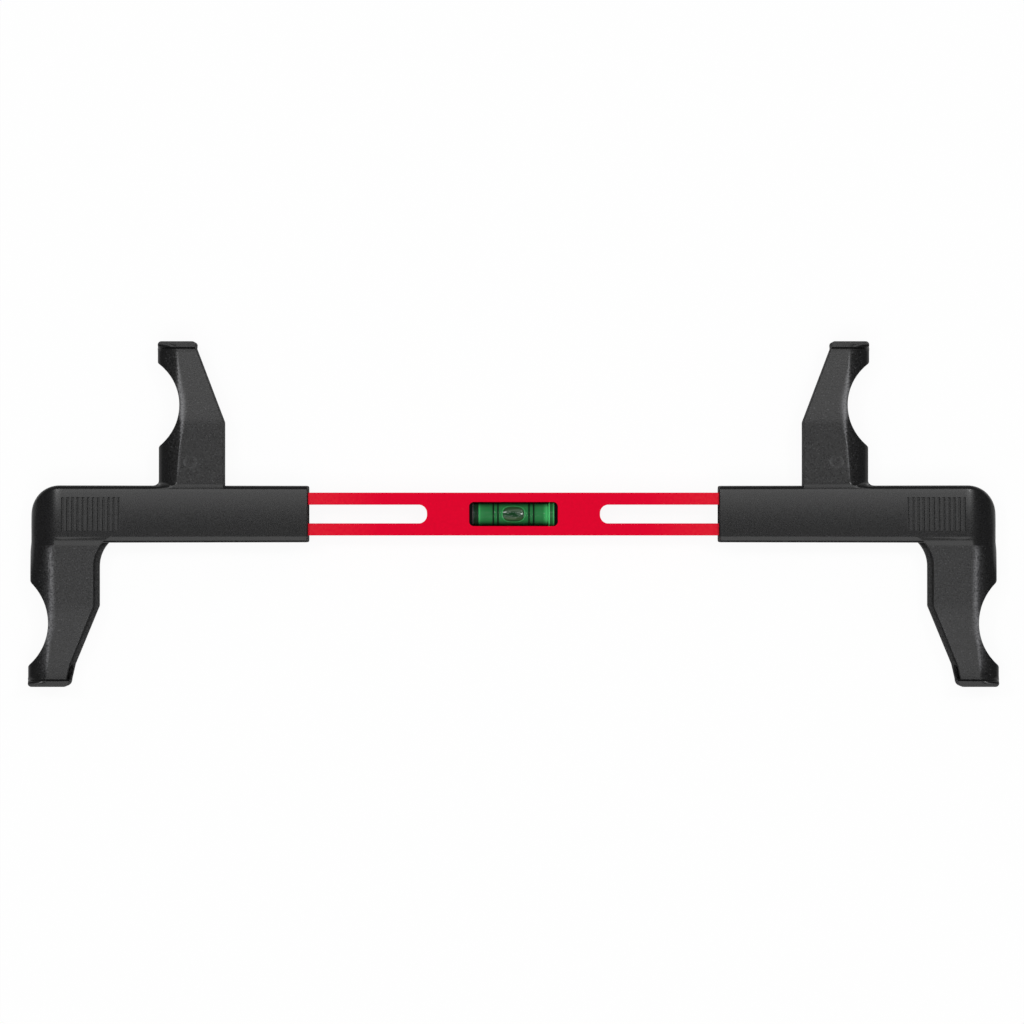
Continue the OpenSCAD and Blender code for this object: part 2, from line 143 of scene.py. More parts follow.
class LevelFingerSizes(bpy.types.PropertyGroup):
    """Sizes of the fingers and of their rim notches."""

    upper_outer: length("Upper outer edge", "Distance from the middle to an upper finger's edge", 132.6)
    lower_outer: length("Lower outer edge", "Distance from the middle to a lower finger's edge", 180.6)
    upper_flare: length("Upper flare", "How far the upper finger's tip stands out", 0.4)
    lower_flare: length("Lower flare", "How far the lower finger's tip stands out", 0.9)
    upper_width: length("Upper width", "Width of an upper finger at its root", 24.3)
    lower_width: length("Lower width", "Width of a lower finger at its root", 25.2)
    tip_width: length("Tip width", "Width of a finger at its tip", 13.9)
    ridge: length("Ridge", "Distance from the bar's axis to the ridge", 34.4)
    ridge_half: length("Half thickness at the ridge", "Half the thickness at the ridge", 7.9)
    upper_root_half: length("Upper half thickness", "Half the thickness at the upper root", 7.45)
    lower_root_half: length("Lower half thickness", "Half the thickness at the lower root", 8.05)
    tip_half: length("Half thickness at the tip", "Half the thickness at the tip", 6.3)
    edge_half: length("Half outer edge", "Half the width of the narrow outer edge", 2.5)
    upper_bevel: length("Upper bevel", "Width of the bevel at the upper root", 6.6)
    lower_bevel: length("Lower bevel", "Width of the bevel at the lower root", 9.2)
    ridge_bevel: length("Ridge bevel", "Width of the bevels at the ridge", 9.4)
    upper_tip_bevel: length("Upper tip bevel", "Width of the upper bevel at the tip", 7.3)
    lower_tip_bevel: length("Lower tip bevel", "Width of the lower bevel at the tip", 7)
    lip: length("Lip length", "Length of the lip at the tip", 2.5)
    lip_rise: length("Lip rise", "How far the lip stands up", 0.9)
    upper_notch_radius: length("Upper notch radius", "Radius of the upper rim notch", 19)
    lower_notch_radius: length("Lower notch radius", "Radius of the lower rim notch", 20.3)
    notch_height: length("Notch height", "Distance from the bar's axis to the notches", 40.7)
    upper_notch: length("Upper notch", "Depth of the upper notch", 7.9)
    lower_notch: length("Lower notch", "Depth of the lower notch", 6.9)
    elbow_radius: length("Elbow radius", "Radius inside the elbow of the lower finger", 12.75)
    elbow_height: length("Elbow height", "Distance from the bar's axis to the elbow's centre", 19.5)
    heel: length("Heel", "Length of the heel at the lower finger's tip", 8.3)
    heel_lean: length("Heel lean", "How far the heel leans", 1.5)
    heel_corner: length("Heel corner", "Radius of the heel's corner", 1.7)
    sink: length("Sink mark", "Radius of the shallow sink in the upper finger's face", 2.7)
    sink_depth: length("Sink depth", "Depth of the shallow sink", 0.09)
    step: length("Front step", "How far the lower finger's front cover is set back", 1.5)
    tip_corner: length("Tip corners", "Radius of the tip's corners in its outline", 1.3)
    tip_edge: length("Tip edge", "Radius of the edge round the tip", 0.35)


class LevelGripSizes(bpy.types.PropertyGroup):
    """Sizes of the ribbed thumb grips."""

    count: IntProperty(name="Ribs", description="Number of ribs in each grip", default=11, min=2, max=13)
    start: length("First groove", "Distance from the middle to the outermost groove", 168.3)
    pitch: length("Pitch", "Distance between grooves", 1.92)
    length: length("Length", "Length of the grooves", 12.6)
    gap: length("Gap", "Width of a groove", 0.7)
    depth: length("Depth", "Depth of a groove", 1.2)
    fall: length("Fall", "How far the ribs' tops fall towards the upper edge", 0.6)


class LevelBarSizes(bpy.types.PropertyGroup):
    """Sizes of the slotted bar."""

    edge: length("Edges", "Radius of the bar's long edges", 0.2)
    rim: length("Rims", "Radius of the rims of the slots and the window", 0.12)
    slot_start: length("Slot start", "Distance from the middle to a slot's inner end", 32.3)
    slot_height: length("Slot height", "Height of the slots", 7)
    window_length: length("Window length", "Length of the vial's window", 33.1)
    window_height: length("Window height", "Height of the vial's window", 9)
    window_corner: length("Window corner", "Radius of the window's corners", 1.7)
    pocket: length("Pocket", "Height of the pocket behind the window", 10.2)
    ear: length("Ears", "Length of the pocket for each ear of the vial's bed", 5.5)
    ear_depth: length("Ear depth", "Depth of the pocket for the ears", 3)


class LevelVialSizes(bpy.types.PropertyGroup):
    """Sizes of the bubble."""

    bubble_length: length("Bubble length", "Length of the bubble", 9.2)
    bubble_width: length("Bubble width", "Width of the bubble", 6.4)
    bubble_rim: length("Bubble rim", "Height of the bubble's rim over its middle", 0.6)


class LevelScrewSizes(bpy.types.PropertyGroup):
    """Sizes of the screws."""

    diameter: length("Shell screw", "Diameter of the shell and stop screws", 3)
    head: length("Shell screw head", "Diameter of the shell and stop screws' heads", 5.6)
    head_height: length("Head height", "Height of the shell screws' heads", 2)
    bed_diameter: length("Bed screw", "Diameter of the vial bed's screws", 2.2)
    bed_head: length("Bed screw head", "Diameter of the bed screws' heads", 4.4)
    bed_head_height: length("Bed head height", "Height of the bed screws' heads", 1.4)


class LevelColours(bpy.types.PropertyGroup):
    """Colours of the finishes."""

    paint: colour("Bar paint", "Red paint of the bar", (0.71, 0.0015, 0.025))
    plastic: colour("Plastic", "Black plastic of the arms", (0.005, 0.005, 0.0052))
    fluid: colour("Fluid", "Green liquid in the vial", (0.028, 0.21, 0.06))
    plug: colour("Plug", "Dark plug of the vial", (0.008, 0.026, 0.012))
    ink: colour("Ink", "Reading lines of the vial", (0.004, 0.010, 0.006))
    steel: colour("Steel", "Bright steel", (0.55, 0.55, 0.56))
    black_steel: colour("Blackened steel", "Blackened screws", (0.045, 0.045, 0.05))
    brass: colour("Brass", "Brass studs", (0.72, 0.50, 0.20))


def in_millimetres(group):
    """The values of a property group, with its lengths in millimetres."""
    values = {}
    for key in type(group).__annotations__:
        is_length = group.bl_rna.properties[key].unit == "LENGTH"
        values[key] = getattr(group, key) / MILLIMETRE if is_length else getattr(group, key)
    return SimpleNamespace(**values)


# Modelling by hand

POST_SIDES = 48
ROD_SIDES = 64


def pick(piece):
    """Makes a piece the only selected and the active object."""
    bpy.ops.object.select_all(action="DESELECT")
    piece.select_set(True)
    bpy.context.view_layer.objects.active = piece


def named(name):
    """Names the object that was just added and applies its place."""
    piece = bpy.context.object
    piece.name = name
    bpy.ops.object.transform_apply(location=True, rotation=True, scale=True)
    return piece


def block(name, low, high):
    """A box between two corners."""
    low, high = Vector(low), Vector(high)
    bpy.ops.object.select_all(action="DESELECT")
    bpy.ops.mesh.primitive_cube_add(size=1, location=(low + high) / 2, scale=high - low)
    return named(name)


def post(name, place, radius, bottom, top, top_radius=None):
    """A round post along Z, which may taper."""
    bpy.ops.object.select_all(action="DESELECT")
    bpy.ops.mesh.primitive_cone_add(
        vertices=POST_SIDES,
        radius1=radius,
        radius2=radius if top_radius is None else top_radius,
        depth=top - bottom,
        location=(place[0], place[1], (bottom + top) / 2),
    )
    return named(name)


def rod(name, start, end, radius, height):
    """A round rod along X at a height."""
    bpy.ops.object.select_all(action="DESELECT")
    bpy.ops.mesh.primitive_cylinder_add(
        vertices=ROD_SIDES,
        radius=radius,
        depth=end - start,
        location=((start + end) / 2, 0, height),
        rotation=(0, math.pi / 2, 0),
    )
    return named(name)


def loft(name, sections):
    """A closed solid: one outline extruded through a row of sections that have as many points each."""
    bpy.ops.object.select_all(action="DESELECT")
    bpy.ops.mesh.primitive_circle_add(vertices=len(sections[0]), fill_type="NGON")
    piece = named(name)
    bpy.ops.object.mode_set(mode="EDIT")
    mesh = bmesh.from_edit_mesh(piece.data)
    ring = [vertex.index for vertex in mesh.verts]
    for number, section in enumerate(sections):
        if number:
            bpy.ops.mesh.extrude_region_move()
            mesh = bmesh.from_edit_mesh(piece.data)
            mesh.verts.index_update()
            mesh.verts.ensure_lookup_table()
            ring = [extruded_from(mesh.verts[index]).index for index in ring]
        mesh.verts.ensure_lookup_table()
        for index, point in zip(ring, section):
            mesh.verts[index].co = point
        bmesh.update_edit_mesh(piece.data)
    bpy.ops.object.mode_set(mode="OBJECT")
    face_outwards(piece)
    return piece


def extruded_from(vertex):
    """The new vertex that an extrusion has drawn out of an old one."""
    return next(edge.other_vert(vertex) for edge in vertex.link_edges if edge.other_vert(vertex).select)


def face_outwards(piece):
    """Merges doubled points and turns all faces outwards."""
    pick(piece)
    bpy.ops.object.mode_set(mode="EDIT")
    bpy.ops.mesh.select_all(action="SELECT")
    bpy.ops.mesh.remove_doubles(threshold=0.002)
    bpy.ops.mesh.normals_make_consistent(inside=False)
    bpy.ops.object.mode_set(mode="OBJECT")


def combine(piece, other, operation):
    """Joins another solid to a piece, or cuts it away, and removes the other solid."""
    pick(piece)
    bpy.ops.object.modifier_add(type="BOOLEAN")
    modifier = piece.modifiers[-1]
    modifier.object = other
    modifier.operation = operation
    modifier.solver = "EXACT"
    bpy.ops.object.modifier_apply(modifier=modifier.name)
    bpy.data.objects.remove(other)


def cut(piece, *cutters):
    """Cuts solids away from a piece."""
    for cutter in cutters:
        combine(piece, cutter, "DIFFERENCE")


def add(piece, *others):
    """Joins solids to a piece."""
    for other in others:
        combine(piece, other, "UNION")


def soften(piece, wanted, width, segments):
    """Rounds the sharp edges of a piece whose ends are wanted."""
    pick(piece)
    bpy.ops.object.mode_set(mode="EDIT")
    bpy.ops.mesh.select_mode(type="EDGE")
    bpy.ops.mesh.select_all(action="DESELECT")
    mesh = bmesh.from_edit_mesh(piece.data)
    for edge in mesh.edges:
        sharp = edge.calc_face_angle(0) > SHARP_ANGLE
        edge.select = sharp and wanted(*[vertex.co for vertex in edge.verts])
    mesh.select_flush_mode()
    bmesh.update_edit_mesh(piece.data)
    bpy.ops.mesh.bevel(offset=width, segments=segments, affect="EDGES", clamp_overlap=True)
    bpy.ops.object.mode_set(mode="OBJECT")


def move(piece, place):
    """Moves a piece that is at the origin to a place."""
    pick(piece)
    piece.location = place
    bpy.ops.object.transform_apply(location=True, rotation=True, scale=True)


def mirrored_copy(piece, name):
    """The same piece on the other side of the middle, with its own mesh."""
    pick(piece)
    bpy.ops.object.duplicate()
    copy = bpy.context.object
    copy.name = name
    copy.scale.x = -1
    bpy.ops.object.transform_apply(location=False, rotation=False, scale=True)
    face_outwards(copy)
    return copy


def join(name, pieces):
    """Makes several pieces one."""
    bpy.ops.object.select_all(action="DESELECT")
    for piece in pieces:
        piece.select_set(True)
    bpy.context.view_layer.objects.active = pieces[0]
    bpy.ops.object.join()
    pieces[0].name = name
    return pieces[0]


def finish(piece, body, slot, node, *finishes):
    """Shrinks a piece to metres, smooths it, dresses it and puts it on its body in place of a CAD node."""
    face_outwards(piece)
    piece.scale = (MILLIMETRE, MILLIMETRE, MILLIMETRE)
    bpy.ops.object.transform_apply(location=False, rotation=False, scale=True)
    bpy.ops.object.shade_smooth_by_angle(angle=SMOOTH_ANGLE)
    bpy.ops.object.modifier_add(type="WEIGHTED_NORMAL")
    piece.modifiers[-1].keep_sharp = True
    bpy.ops.object.modifier_apply(modifier=piece.modifiers[-1].name)
    for one in finishes:
        piece.data.materials.append(one)
    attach(piece, body)
    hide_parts(node)


def finish_both(right, name, slot, node, *finishes):
    """Mirrors a piece of the right arm and finishes both, in place of each arm's own CAD node."""
    left = mirrored_copy(right, f"left_{name}")
    for piece, side in zip((left, right), SIDES):
        finish(piece, f"{side}_arm", slot, f"{side}_{node}", *finishes)
    return left, right


# Outlines


def rounded(corners):
    """Outline through corners given as (x, y, radius, steps), each rounded by an arc in that many steps."""
    points = []
    for number, (x, y, radius, steps) in enumerate(corners):
        corner = Vector((x, y))
        if not steps:
            points.append(corner)
            continue
        before = Vector(corners[number - 1][:2]) - corner
        after = Vector(corners[(number + 1) % len(corners)][:2]) - corner
        half = before.angle(after) / 2
        run = min(radius / math.tan(half), 0.45 * before.length, 0.45 * after.length)
        first = corner + before.normalized() * run
        last = corner + after.normalized() * run
        for step in range(steps + 1):
            share = step / steps
            weights = ((1 - share) ** 2, 2 * share * (1 - share) * math.sin(half), share**2)
            points.append((first * weights[0] + corner * weights[1] + last * weights[2]) / sum(weights))
    return points


def circle(radius, sides=64):
    """Points of a circle, as pairs."""
    turns = [2 * math.pi * number / sides for number in range(sides)]
    return [(radius * math.cos(turn), radius * math.sin(turn)) for turn in turns]


def upright(name, outline, bottom, top):
    """A solid with an outline in X and Y, drawn up from one height to another."""
    return loft(name, [[(x, y, height) for x, y in outline] for height in (bottom, top)])


def round_box_outline(low, high, radius, steps=8):
    """Outline of a rectangle with round corners."""
    return rounded(
        [
            (low[0], low[1], radius, steps),
            (high[0], low[1], radius, steps),
            (high[0], high[1], radius, steps),
            (low[0], high[1], radius, steps),
        ]
    )


def smaller(first, second, blend):
    """The smaller of two values, blended where they are close."""
    near = max(blend - abs(first - second), 0)
    return min(first, second) - near * near / (4 * blend)


def round_off(distance, radius):
    """How far a rounded edge has fallen at a distance before the end of a piece."""
    into = max(radius - distance, 0)
    return radius - math.sqrt(max(radius * radius - into * into, 0))


def smooth(share):
    """Goes smoothly from 0 to 1 as the share does."""
    share = min(max(share, 0), 1)
    return share * share * (3 - 2 * share)


# Arm covers

# Blends where a notch meets the outer edge and where the face turns at the ridge.
NOTCH_BLEND = 0.8
RIDGE_BLEND = 0.15
# Roundings of the fingers' edges, as radius and steps, and of the corner between upper finger and sleeve.
INNER_EDGE = (0.2, 3)
OUTER_EDGE = (0.8, 5)
UPPER_OUTER_FILLET = 1.8
# The bevels: slope at the face and at the outer edge, and the least room and width that a notch leaves.
BEVEL_STEPS = 18
BEVEL_SLOPE = {"upper": math.tan(math.radians(14)), "lower": math.tan(math.radians(15))}
BEVEL_END_SLOPE = math.tan(math.radians(66))
BEVEL_ROOM = 2
BEVEL_LEFT = 1.2
# Rounding between face and bevel, at root, ridge and tip, and what is added where a notch is near.
EDGE_RUNS = {"upper": (0.5, 0.6, 0.8), "lower": (1.1, 1.5, 0.4)}
NOTCH_RUN = {"upper": 1, "lower": 0}
NOTCH_NEAR = 2
NOTCH_FAR = 5.5
# The lip: how its face falls outwards, the runs of its blends and slope, and its steps in the outline.
LIP_FALL = {"upper": 0.025, "lower": 0.055}
LIP_BLEND = 3
LIP_SLOPE = 0.8
LIP_RUN = 2
LIP_BULGE = 0.1
LIP_BULGE_SHARE = 0.6
LIP_SET_BACK = 0.25
STEP_RUN = 0.6
# Where the fingers run into the sleeve: length of the blend, and how deep the root is hidden in it.
ROOT_RUN = 2.4
LOWER_ROOT_RUN = 14
ROOT_BEVEL_RUN = 4
ROOT_SINK = 2.3
ROOT_DEPTH = 3.2
ROOT_LEAN = 0.1
COVERED = 0.005
# Distances at which a finger is drawn: from root, tip, ridge, notch ends, heel and its corner, and evenly.
ROOT_OFFSETS = (-ROOT_DEPTH, -ROOT_SINK, -1.6, -1.2, -1, -0.75, -0.5, -0.25, 0, 0.08)
ROOT_OFFSETS += (0.2, 0.35, 0.5, 0.75, 1, 1.2, 1.5, 1.85, 2.5)
TIP_OFFSETS = (1.3, 1, 0.75, 0.5, 0.3, 0.14, 0.05, 0)
RIDGE_OFFSETS = (-1.2, -0.6, -0.2, 0.2, 0.6, 1.2)
NOTCH_OFFSETS = (-1.3, -0.9, -0.6, -0.35, -0.1, 0.15, 0.4, 0.8, 1.3)
HEEL_OFFSETS = (-0.5, 0, 0.5)
HEEL_CORNER_SHARES = (0.95, 0.8, 0.65)
EVEN_START = 3.5
EVEN_STEP = 1.5
EVEN_COUNT = 32
LEAST_STEP = 0.03


class Finger:
    """Outline and thickness of a finger at each distance from the bar's axis."""

    def __init__(self, sleeve, sizes, lower):
        self.sleeve, self.sizes, self.lower = sleeve, sizes, lower
        kind = "lower" if lower else "upper"
        self.direction = -1 if lower else 1
        self.edge = getattr(sizes, f"{kind}_outer")
        self.width = getattr(sizes, f"{kind}_width")
        self.side = self.edge + getattr(sizes, f"{kind}_flare")
        self.notch = getattr(sizes, f"{kind}_notch")
        self.notch_radius = getattr(sizes, f"{kind}_notch_radius")
        self.root_half = getattr(sizes, f"{kind}_root_half")
        self.root_bevel = getattr(sizes, f"{kind}_bevel")
        self.tip_bevel = getattr(sizes, f"{kind}_tip_bevel")
        self.inner_corner = sizes.heel_corner if lower else sizes.tip_corner
        self.bevel_slope = BEVEL_SLOPE[kind]
        self.edge_runs = EDGE_RUNS[kind]
        self.notch_run = NOTCH_RUN[kind]
        self.lip_fall = LIP_FALL[kind]
        self.root = sleeve.height / 2
        self.lip_start = REACH - sizes.lip
        self.taper = (self.width - sizes.tip_width) / (self.lip_start - sizes.ridge)

    def straight_inner(self, height):
        """Inner edge without its elbow and its heel."""
        return self.edge - self.width + self.taper * max(height - self.sizes.ridge, 0)

    def inner(self, height):
        """Inner edge of the finger."""
        sizes = self.sizes
        if not self.lower:
            bulge = smooth((height - self.lip_start) / (LIP_BULGE_SHARE * sizes.lip))
            return self.straight_inner(min(height, self.lip_start)) - LIP_BULGE * bulge
        heel_start = REACH - sizes.heel
        place = self.straight_inner(min(height, heel_start))
        place += sizes.heel_lean * max(height - heel_start, 0) / (sizes.heel - sizes.heel_corner)
        place -= round_off(height - (sizes.elbow_height - sizes.elbow_radius), sizes.elbow_radius)
        return place

    def outer(self, height):
        """Outer edge of the finger, with its notch."""
        edge = self.side if height > self.sizes.notch_height else self.edge
        along = abs(height - self.sizes.notch_height)
        if along < self.notch_radius:
            depth = math.sqrt(self.notch_radius**2 - along**2)
            edge = smaller(edge, self.edge - self.notch + self.notch_radius - depth, NOTCH_BLEND)
        return edge

    def between(self, height, root, ridge, tip):
        """A value at a height that changes evenly from the root to the ridge and from there to the tip."""
        sizes = self.sizes
        if height < sizes.ridge:
            return root + (ridge - root) * height / sizes.ridge
        past = (height - sizes.ridge) / (self.lip_start - sizes.ridge)
        return ridge + (tip - ridge) * min(past, 1)

    def on_lip(self, height):
        """Share of the way up the slope from the face to the lip."""
        return smooth((height - self.lip_start) / LIP_SLOPE + 0.5)

    def face(self, height):
        """Distance of the face from the joint between the covers, before it runs into the sleeve."""
        sizes = self.sizes
        face = self.between(height, self.root_half, sizes.ridge_half, sizes.tip_half)
        turn = (sizes.ridge_half - sizes.tip_half) / (self.lip_start - sizes.ridge)
        face -= max(RIDGE_BLEND - turn * abs(height - sizes.ridge), 0) ** 2 / (4 * RIDGE_BLEND)
        levelled = min(max(height - self.lip_start + LIP_RUN, 0), LIP_RUN)
        face += turn * levelled**2 / (2 * LIP_RUN)
        face += sizes.lip_rise * self.on_lip(height)
        return face - self.lip_fall * max(height - self.lip_start - LIP_SLOPE / 2, 0)

    def bevel_fall(self, along, width, drop):
        """How far a bevel has fallen at a distance from the face: a curve that grows steeper outwards."""
        knee = (BEVEL_END_SLOPE * width - drop) / (BEVEL_END_SLOPE - self.bevel_slope)
        share = along / (knee + math.sqrt(knee**2 + (width - 2 * knee) * along))
        return 2 * share * (1 - share) * self.bevel_slope * knee + share**2 * drop

    def bevel(self, height, side, outer, face):
        """Points over the face's rounded edge and the bevel, as places and distances from the joint."""
        sizes = self.sizes
        width = self.between(height, self.root_bevel, sizes.ridge_bevel, self.tip_bevel)
        left = max(outer - side + width, BEVEL_LEFT)
        near_notch = 1 - smooth((left - NOTCH_NEAR) / (NOTCH_FAR - NOTCH_NEAR))
        run = self.between(height, *self.edge_runs) + self.notch_run * near_notch
        start = min(side - width, outer - BEVEL_ROOM) - run
        lowered = 1 - smooth((height - self.lip_start) / LIP_BLEND + 0.5)
        points = []
        for step in range(BEVEL_STEPS + 1):
            share = step / BEVEL_STEPS
            along = share * (left + run) - run
            fall = self.bevel_fall(max(along, 0), width, face - sizes.edge_half)
            fall += self.bevel_slope * max(run - abs(along), 0) ** 2 / (4 * run)
            points.append((start + share * (outer - start), face - fall * lowered))
        return points

    def sleeve_level(self, place, front):
        """Distance of the sleeve's face from the joint, where the finger leaves the sleeve."""
        level = FRONT - PARTING - sleeve_drop(self.sleeve, place)
        if front:
            level -= self.sleeve.relief + (0 if self.lower else self.sleeve.fall)
        return level - COVERED

    def half_section(self, height, front):
        """Half of a cross section, as places along X and distances from the joint between the covers."""
        sizes, seam = self.sizes, self.sleeve.seam
        corner = round_off(REACH - height, sizes.tip_corner)
        inner = self.inner(height) + round_off(REACH - height, self.inner_corner)
        if front and self.lower:
            inner += sizes.step * (1 - smooth((height - self.lip_start) / STEP_RUN + 1))
        outer = self.outer(height) - corner - LIP_SET_BACK * self.on_lip(height)
        side = self.side - corner
        if self.lower:
            outer = min(outer, self.sleeve.end + ROOT_LEAN * max(height - self.root, -1))
        else:
            spread = round_off(height - self.root, UPPER_OUTER_FILLET)
            side += spread
            outer += spread
        face = self.face(height) - round_off(REACH - height, sizes.tip_edge)
        *bevel, (_, bevel_end) = self.bevel(height, side, outer, face)
        bevel_start = bevel[0][0]
        points = rounded(
            [
                (inner + seam, 0, 0, 0),
                (inner, seam, 0, 0),
                (inner, face, *INNER_EDGE),
                *[(place, away, 0, 0) for place, away in bevel],
                (outer, bevel_end, *OUTER_EDGE),
                (outer, seam, 0, 0),
                (outer - seam, 0, 0, 0),
            ]
        )
        sink = max(self.root - ROOT_SINK - height, 0)
        for point in points:
            if point.y > seam:
                on_bevel = smooth((point.x - bevel_start + 1) / ROOT_BEVEL_RUN) if self.lower else 0
                run = ROOT_RUN + (LOWER_ROOT_RUN - ROOT_RUN) * on_bevel
                joined = 1 - smooth((height - self.root + ROOT_RUN / 2) / run)
                point.y += (self.sleeve_level(point.x, front) - point.y) * joined - sink
        return points

    def stations(self):
        """Distances from the bar's axis at which the finger is drawn, closest where its shape turns."""
        sizes = self.sizes
        spots = [self.lip_start + number / 10 for number in range(-15, 17)]
        spots += [self.root + offset for offset in ROOT_OFFSETS]
        spots += [REACH - offset for offset in TIP_OFFSETS]
        spots += [sizes.ridge + offset for offset in RIDGE_OFFSETS]
        for edge in (self.edge, self.side):
            depth = edge - (self.edge - self.notch + self.notch_radius)
            along = math.sqrt(self.notch_radius**2 - depth**2)
            for offset in NOTCH_OFFSETS:
                spots.append(sizes.notch_height - along - offset)
                spots.append(sizes.notch_height + along + offset)
        if self.lower:
            spots += [REACH - sizes.heel + offset for offset in HEEL_OFFSETS]
            spots += [REACH - sizes.heel_corner * share for share in HEEL_CORNER_SHARES]
        spots += [self.root + EVEN_START + EVEN_STEP * number for number in range(EVEN_COUNT)]
        kept = []
        for spot in sorted(spots):
            if spot <= REACH and (not kept or spot - kept[-1] > LEAST_STEP):
                kept.append(spot)
        return kept

    def half(self, name, front):
        """The finger's front or back half as a solid."""
        out = 1 if front else -1
        sections = []
        for height in self.stations():
            points = self.half_section(height, front)
            sections.append([(x, self.direction * height, PARTING + out * away) for x, away in points])
        return loft(name, sections)


# Distances at which a sleeve is drawn, from its mouth, along its straight part and at its outer end.
MOUTH_OFFSETS = (0, 0.04, 0.12, 0.25, 0.4, 0.6)
STRAIGHT_SHARES = (0.25, 0.5, 0.75, 1)
END_STEPS = 20
END_OFFSETS = (0.9, 0.6, 0.35, 0.18, 0.07, 0.02, 0)
# Share of the outer end's fall that grows slowly, steps of the sleeve's edges and front, and slope's radius.
END_SHARE = 0.67
SLEEVE_EDGE_STEPS = 6
FACE_STEPS = 12
SLOPE_RADIUS = 4


def sleeve_drop(sleeve, place):
    """How far the sleeve's outer end is rounded down at a place along the bar."""
    past = max(place - sleeve.end + sleeve.end_run, 0) / sleeve.end_run
    bent = END_SHARE * past**2 + (1 - END_SHARE) * past**5
    return sleeve.end_drop * bent + round_off(sleeve.end - place, sleeve.end_edge)


def sleeve_half(name, sleeve, front):
    """Front or back half of a sleeve as a solid, drawn along the bar from its mouth to its outer end."""
    fall = sleeve.fall if front else 0
    depth = FRONT - PARTING - (sleeve.relief if front else 0)
    out = 1 if front else -1
    straight_end = sleeve.end - sleeve.end_run
    straight = straight_end - sleeve.mouth
    slope = sleeve.slope_drop if front else 0
    spots = [sleeve.mouth + offset for offset in MOUTH_OFFSETS]
    spots += [sleeve.mouth + straight * share for share in STRAIGHT_SHARES]
    spots += [straight_end + sleeve.end_run * number / END_STEPS for number in range(1, END_STEPS - 1)]
    spots += [sleeve.end - offset for offset in END_OFFSETS]
    sections = []
    for spot in spots:
        past = max(spot - sleeve.end + sleeve.corner, 0)
        mouth = round_off(spot - sleeve.mouth, sleeve.mouth_edge)
        half = sleeve.height / 2 - sleeve.draft * max(straight_end - spot, 0) / straight
        face = depth - mouth - sleeve_drop(sleeve, spot)
        top = half - sleeve.corner + math.sqrt(max(sleeve.corner**2 - past**2, 0)) - mouth
        bottom = mouth - half
        outline = rounded(
            [
                (bottom + sleeve.seam, 0, 0, 0),
                (bottom, sleeve.seam, 0, 0),
                (bottom, face - slope, sleeve.lower_edge, SLEEVE_EDGE_STEPS),
                (bottom + sleeve.slope_run, face, SLOPE_RADIUS, SLEEVE_EDGE_STEPS),
                (top, face - fall, sleeve.upper_edge, SLEEVE_EDGE_STEPS),
                (top, sleeve.seam, 0, 0),
                (top - sleeve.seam, 0, 0, 0),
            ]
        )
        # The front lies between the second and the third rounded corner, which follow two plain points.
        face_start = 2 + 2 * (SLEEVE_EDGE_STEPS + 1)
        before, after = outline[face_start - 1 : face_start + 1]
        crown = []
        for step in range(1, FACE_STEPS):
            share = step / FACE_STEPS
            crown.append(before.lerp(after, share) + Vector((0, fall * (share - share**2))))
        curved = outline[:face_start] + crown + outline[face_start:]
        sections.append([(spot, along, PARTING + out * away) for along, away in curved])
    return loft(name, sections)


# Lines that part the middles of an arm's shell screws from each other.
SCREWS_APART_X = 145
SCREWS_APART_Y = 40
# The recess beside the lower tip: middle, half width and half length, lean and floor.
RECESS_PLACE = (166, -59.3)
RECESS_HALF = (0.8, 3)
RECESS_LEAN = math.radians(18)
RECESS_FLOOR = 2.5
# Rounding of the ribs, and rings of the sink mark's cutter with its height over the face.
RIB_EDGE = 0.12
SINK_SHARES = (1, 0.85, 0.7, 0.5, 0.3, 0.02)
SINK_OVER = 0.5
SINK_LIFT = 0.004
# Room round the screws, depth of their pilots, seats of their heads, and radius of the stop's post.
SCREW_PLAY = 0.05
HEAD_PLAY = 0.1
STOP_PLAY = 0.03
PILOT_DEPTH = 5
SEAT_DEPTH = 3.6
STOP_SINK = (0.2, 1.6)
STOP_POST = 2.4


def shell_screw_places():
    """Middles of the right arm's shell screws, read from the CAD node."""
    groups = {}
    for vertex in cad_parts["right_shell_screws"].data.vertices:
        x, y, _ = vertex.co / MILLIMETRE
        key = (x > SCREWS_APART_X, y > 0, abs(y) > SCREWS_APART_Y)
        groups.setdefault(key, []).append((x, y))
    places = []
    for group in groups.values():
        places.append([(min(values) + max(values)) / 2 for values in zip(*group)])
    return sorted(places)


def tip_recess():
    """Cutter for the pointed recess beside the lower finger's tip."""
    cosine, sine = math.cos(RECESS_LEAN), math.sin(RECESS_LEAN)
    outline = []
    for x, y in circle(1, 32):
        across, along = RECESS_HALF[0] * x, RECESS_HALF[1] * y
        outline.append(
            (
                RECESS_PLACE[0] + across * cosine + along * sine,
                RECESS_PLACE[1] + across * sine - along * cosine,
            )
        )
    return upright("tip_recess", outline, RECESS_FLOOR, PARTING + OVER)


def grip_pocket(grip):
    """Cutter for the pocket of the thumb grip, whose floor falls towards the upper edge."""
    half = grip.length / 2
    inner = grip.start - grip.count * grip.pitch - grip.gap / 2
    low = (inner, -half, FRONT - grip.depth)
    piece = block("grip_pocket", low, (grip.start + grip.gap / 2, half, FRONT + OVER))
    for vertex in piece.data.vertices:
        if vertex.co.z < FRONT and vertex.co.y > 0:
            vertex.co.z -= grip.fall
    return piece


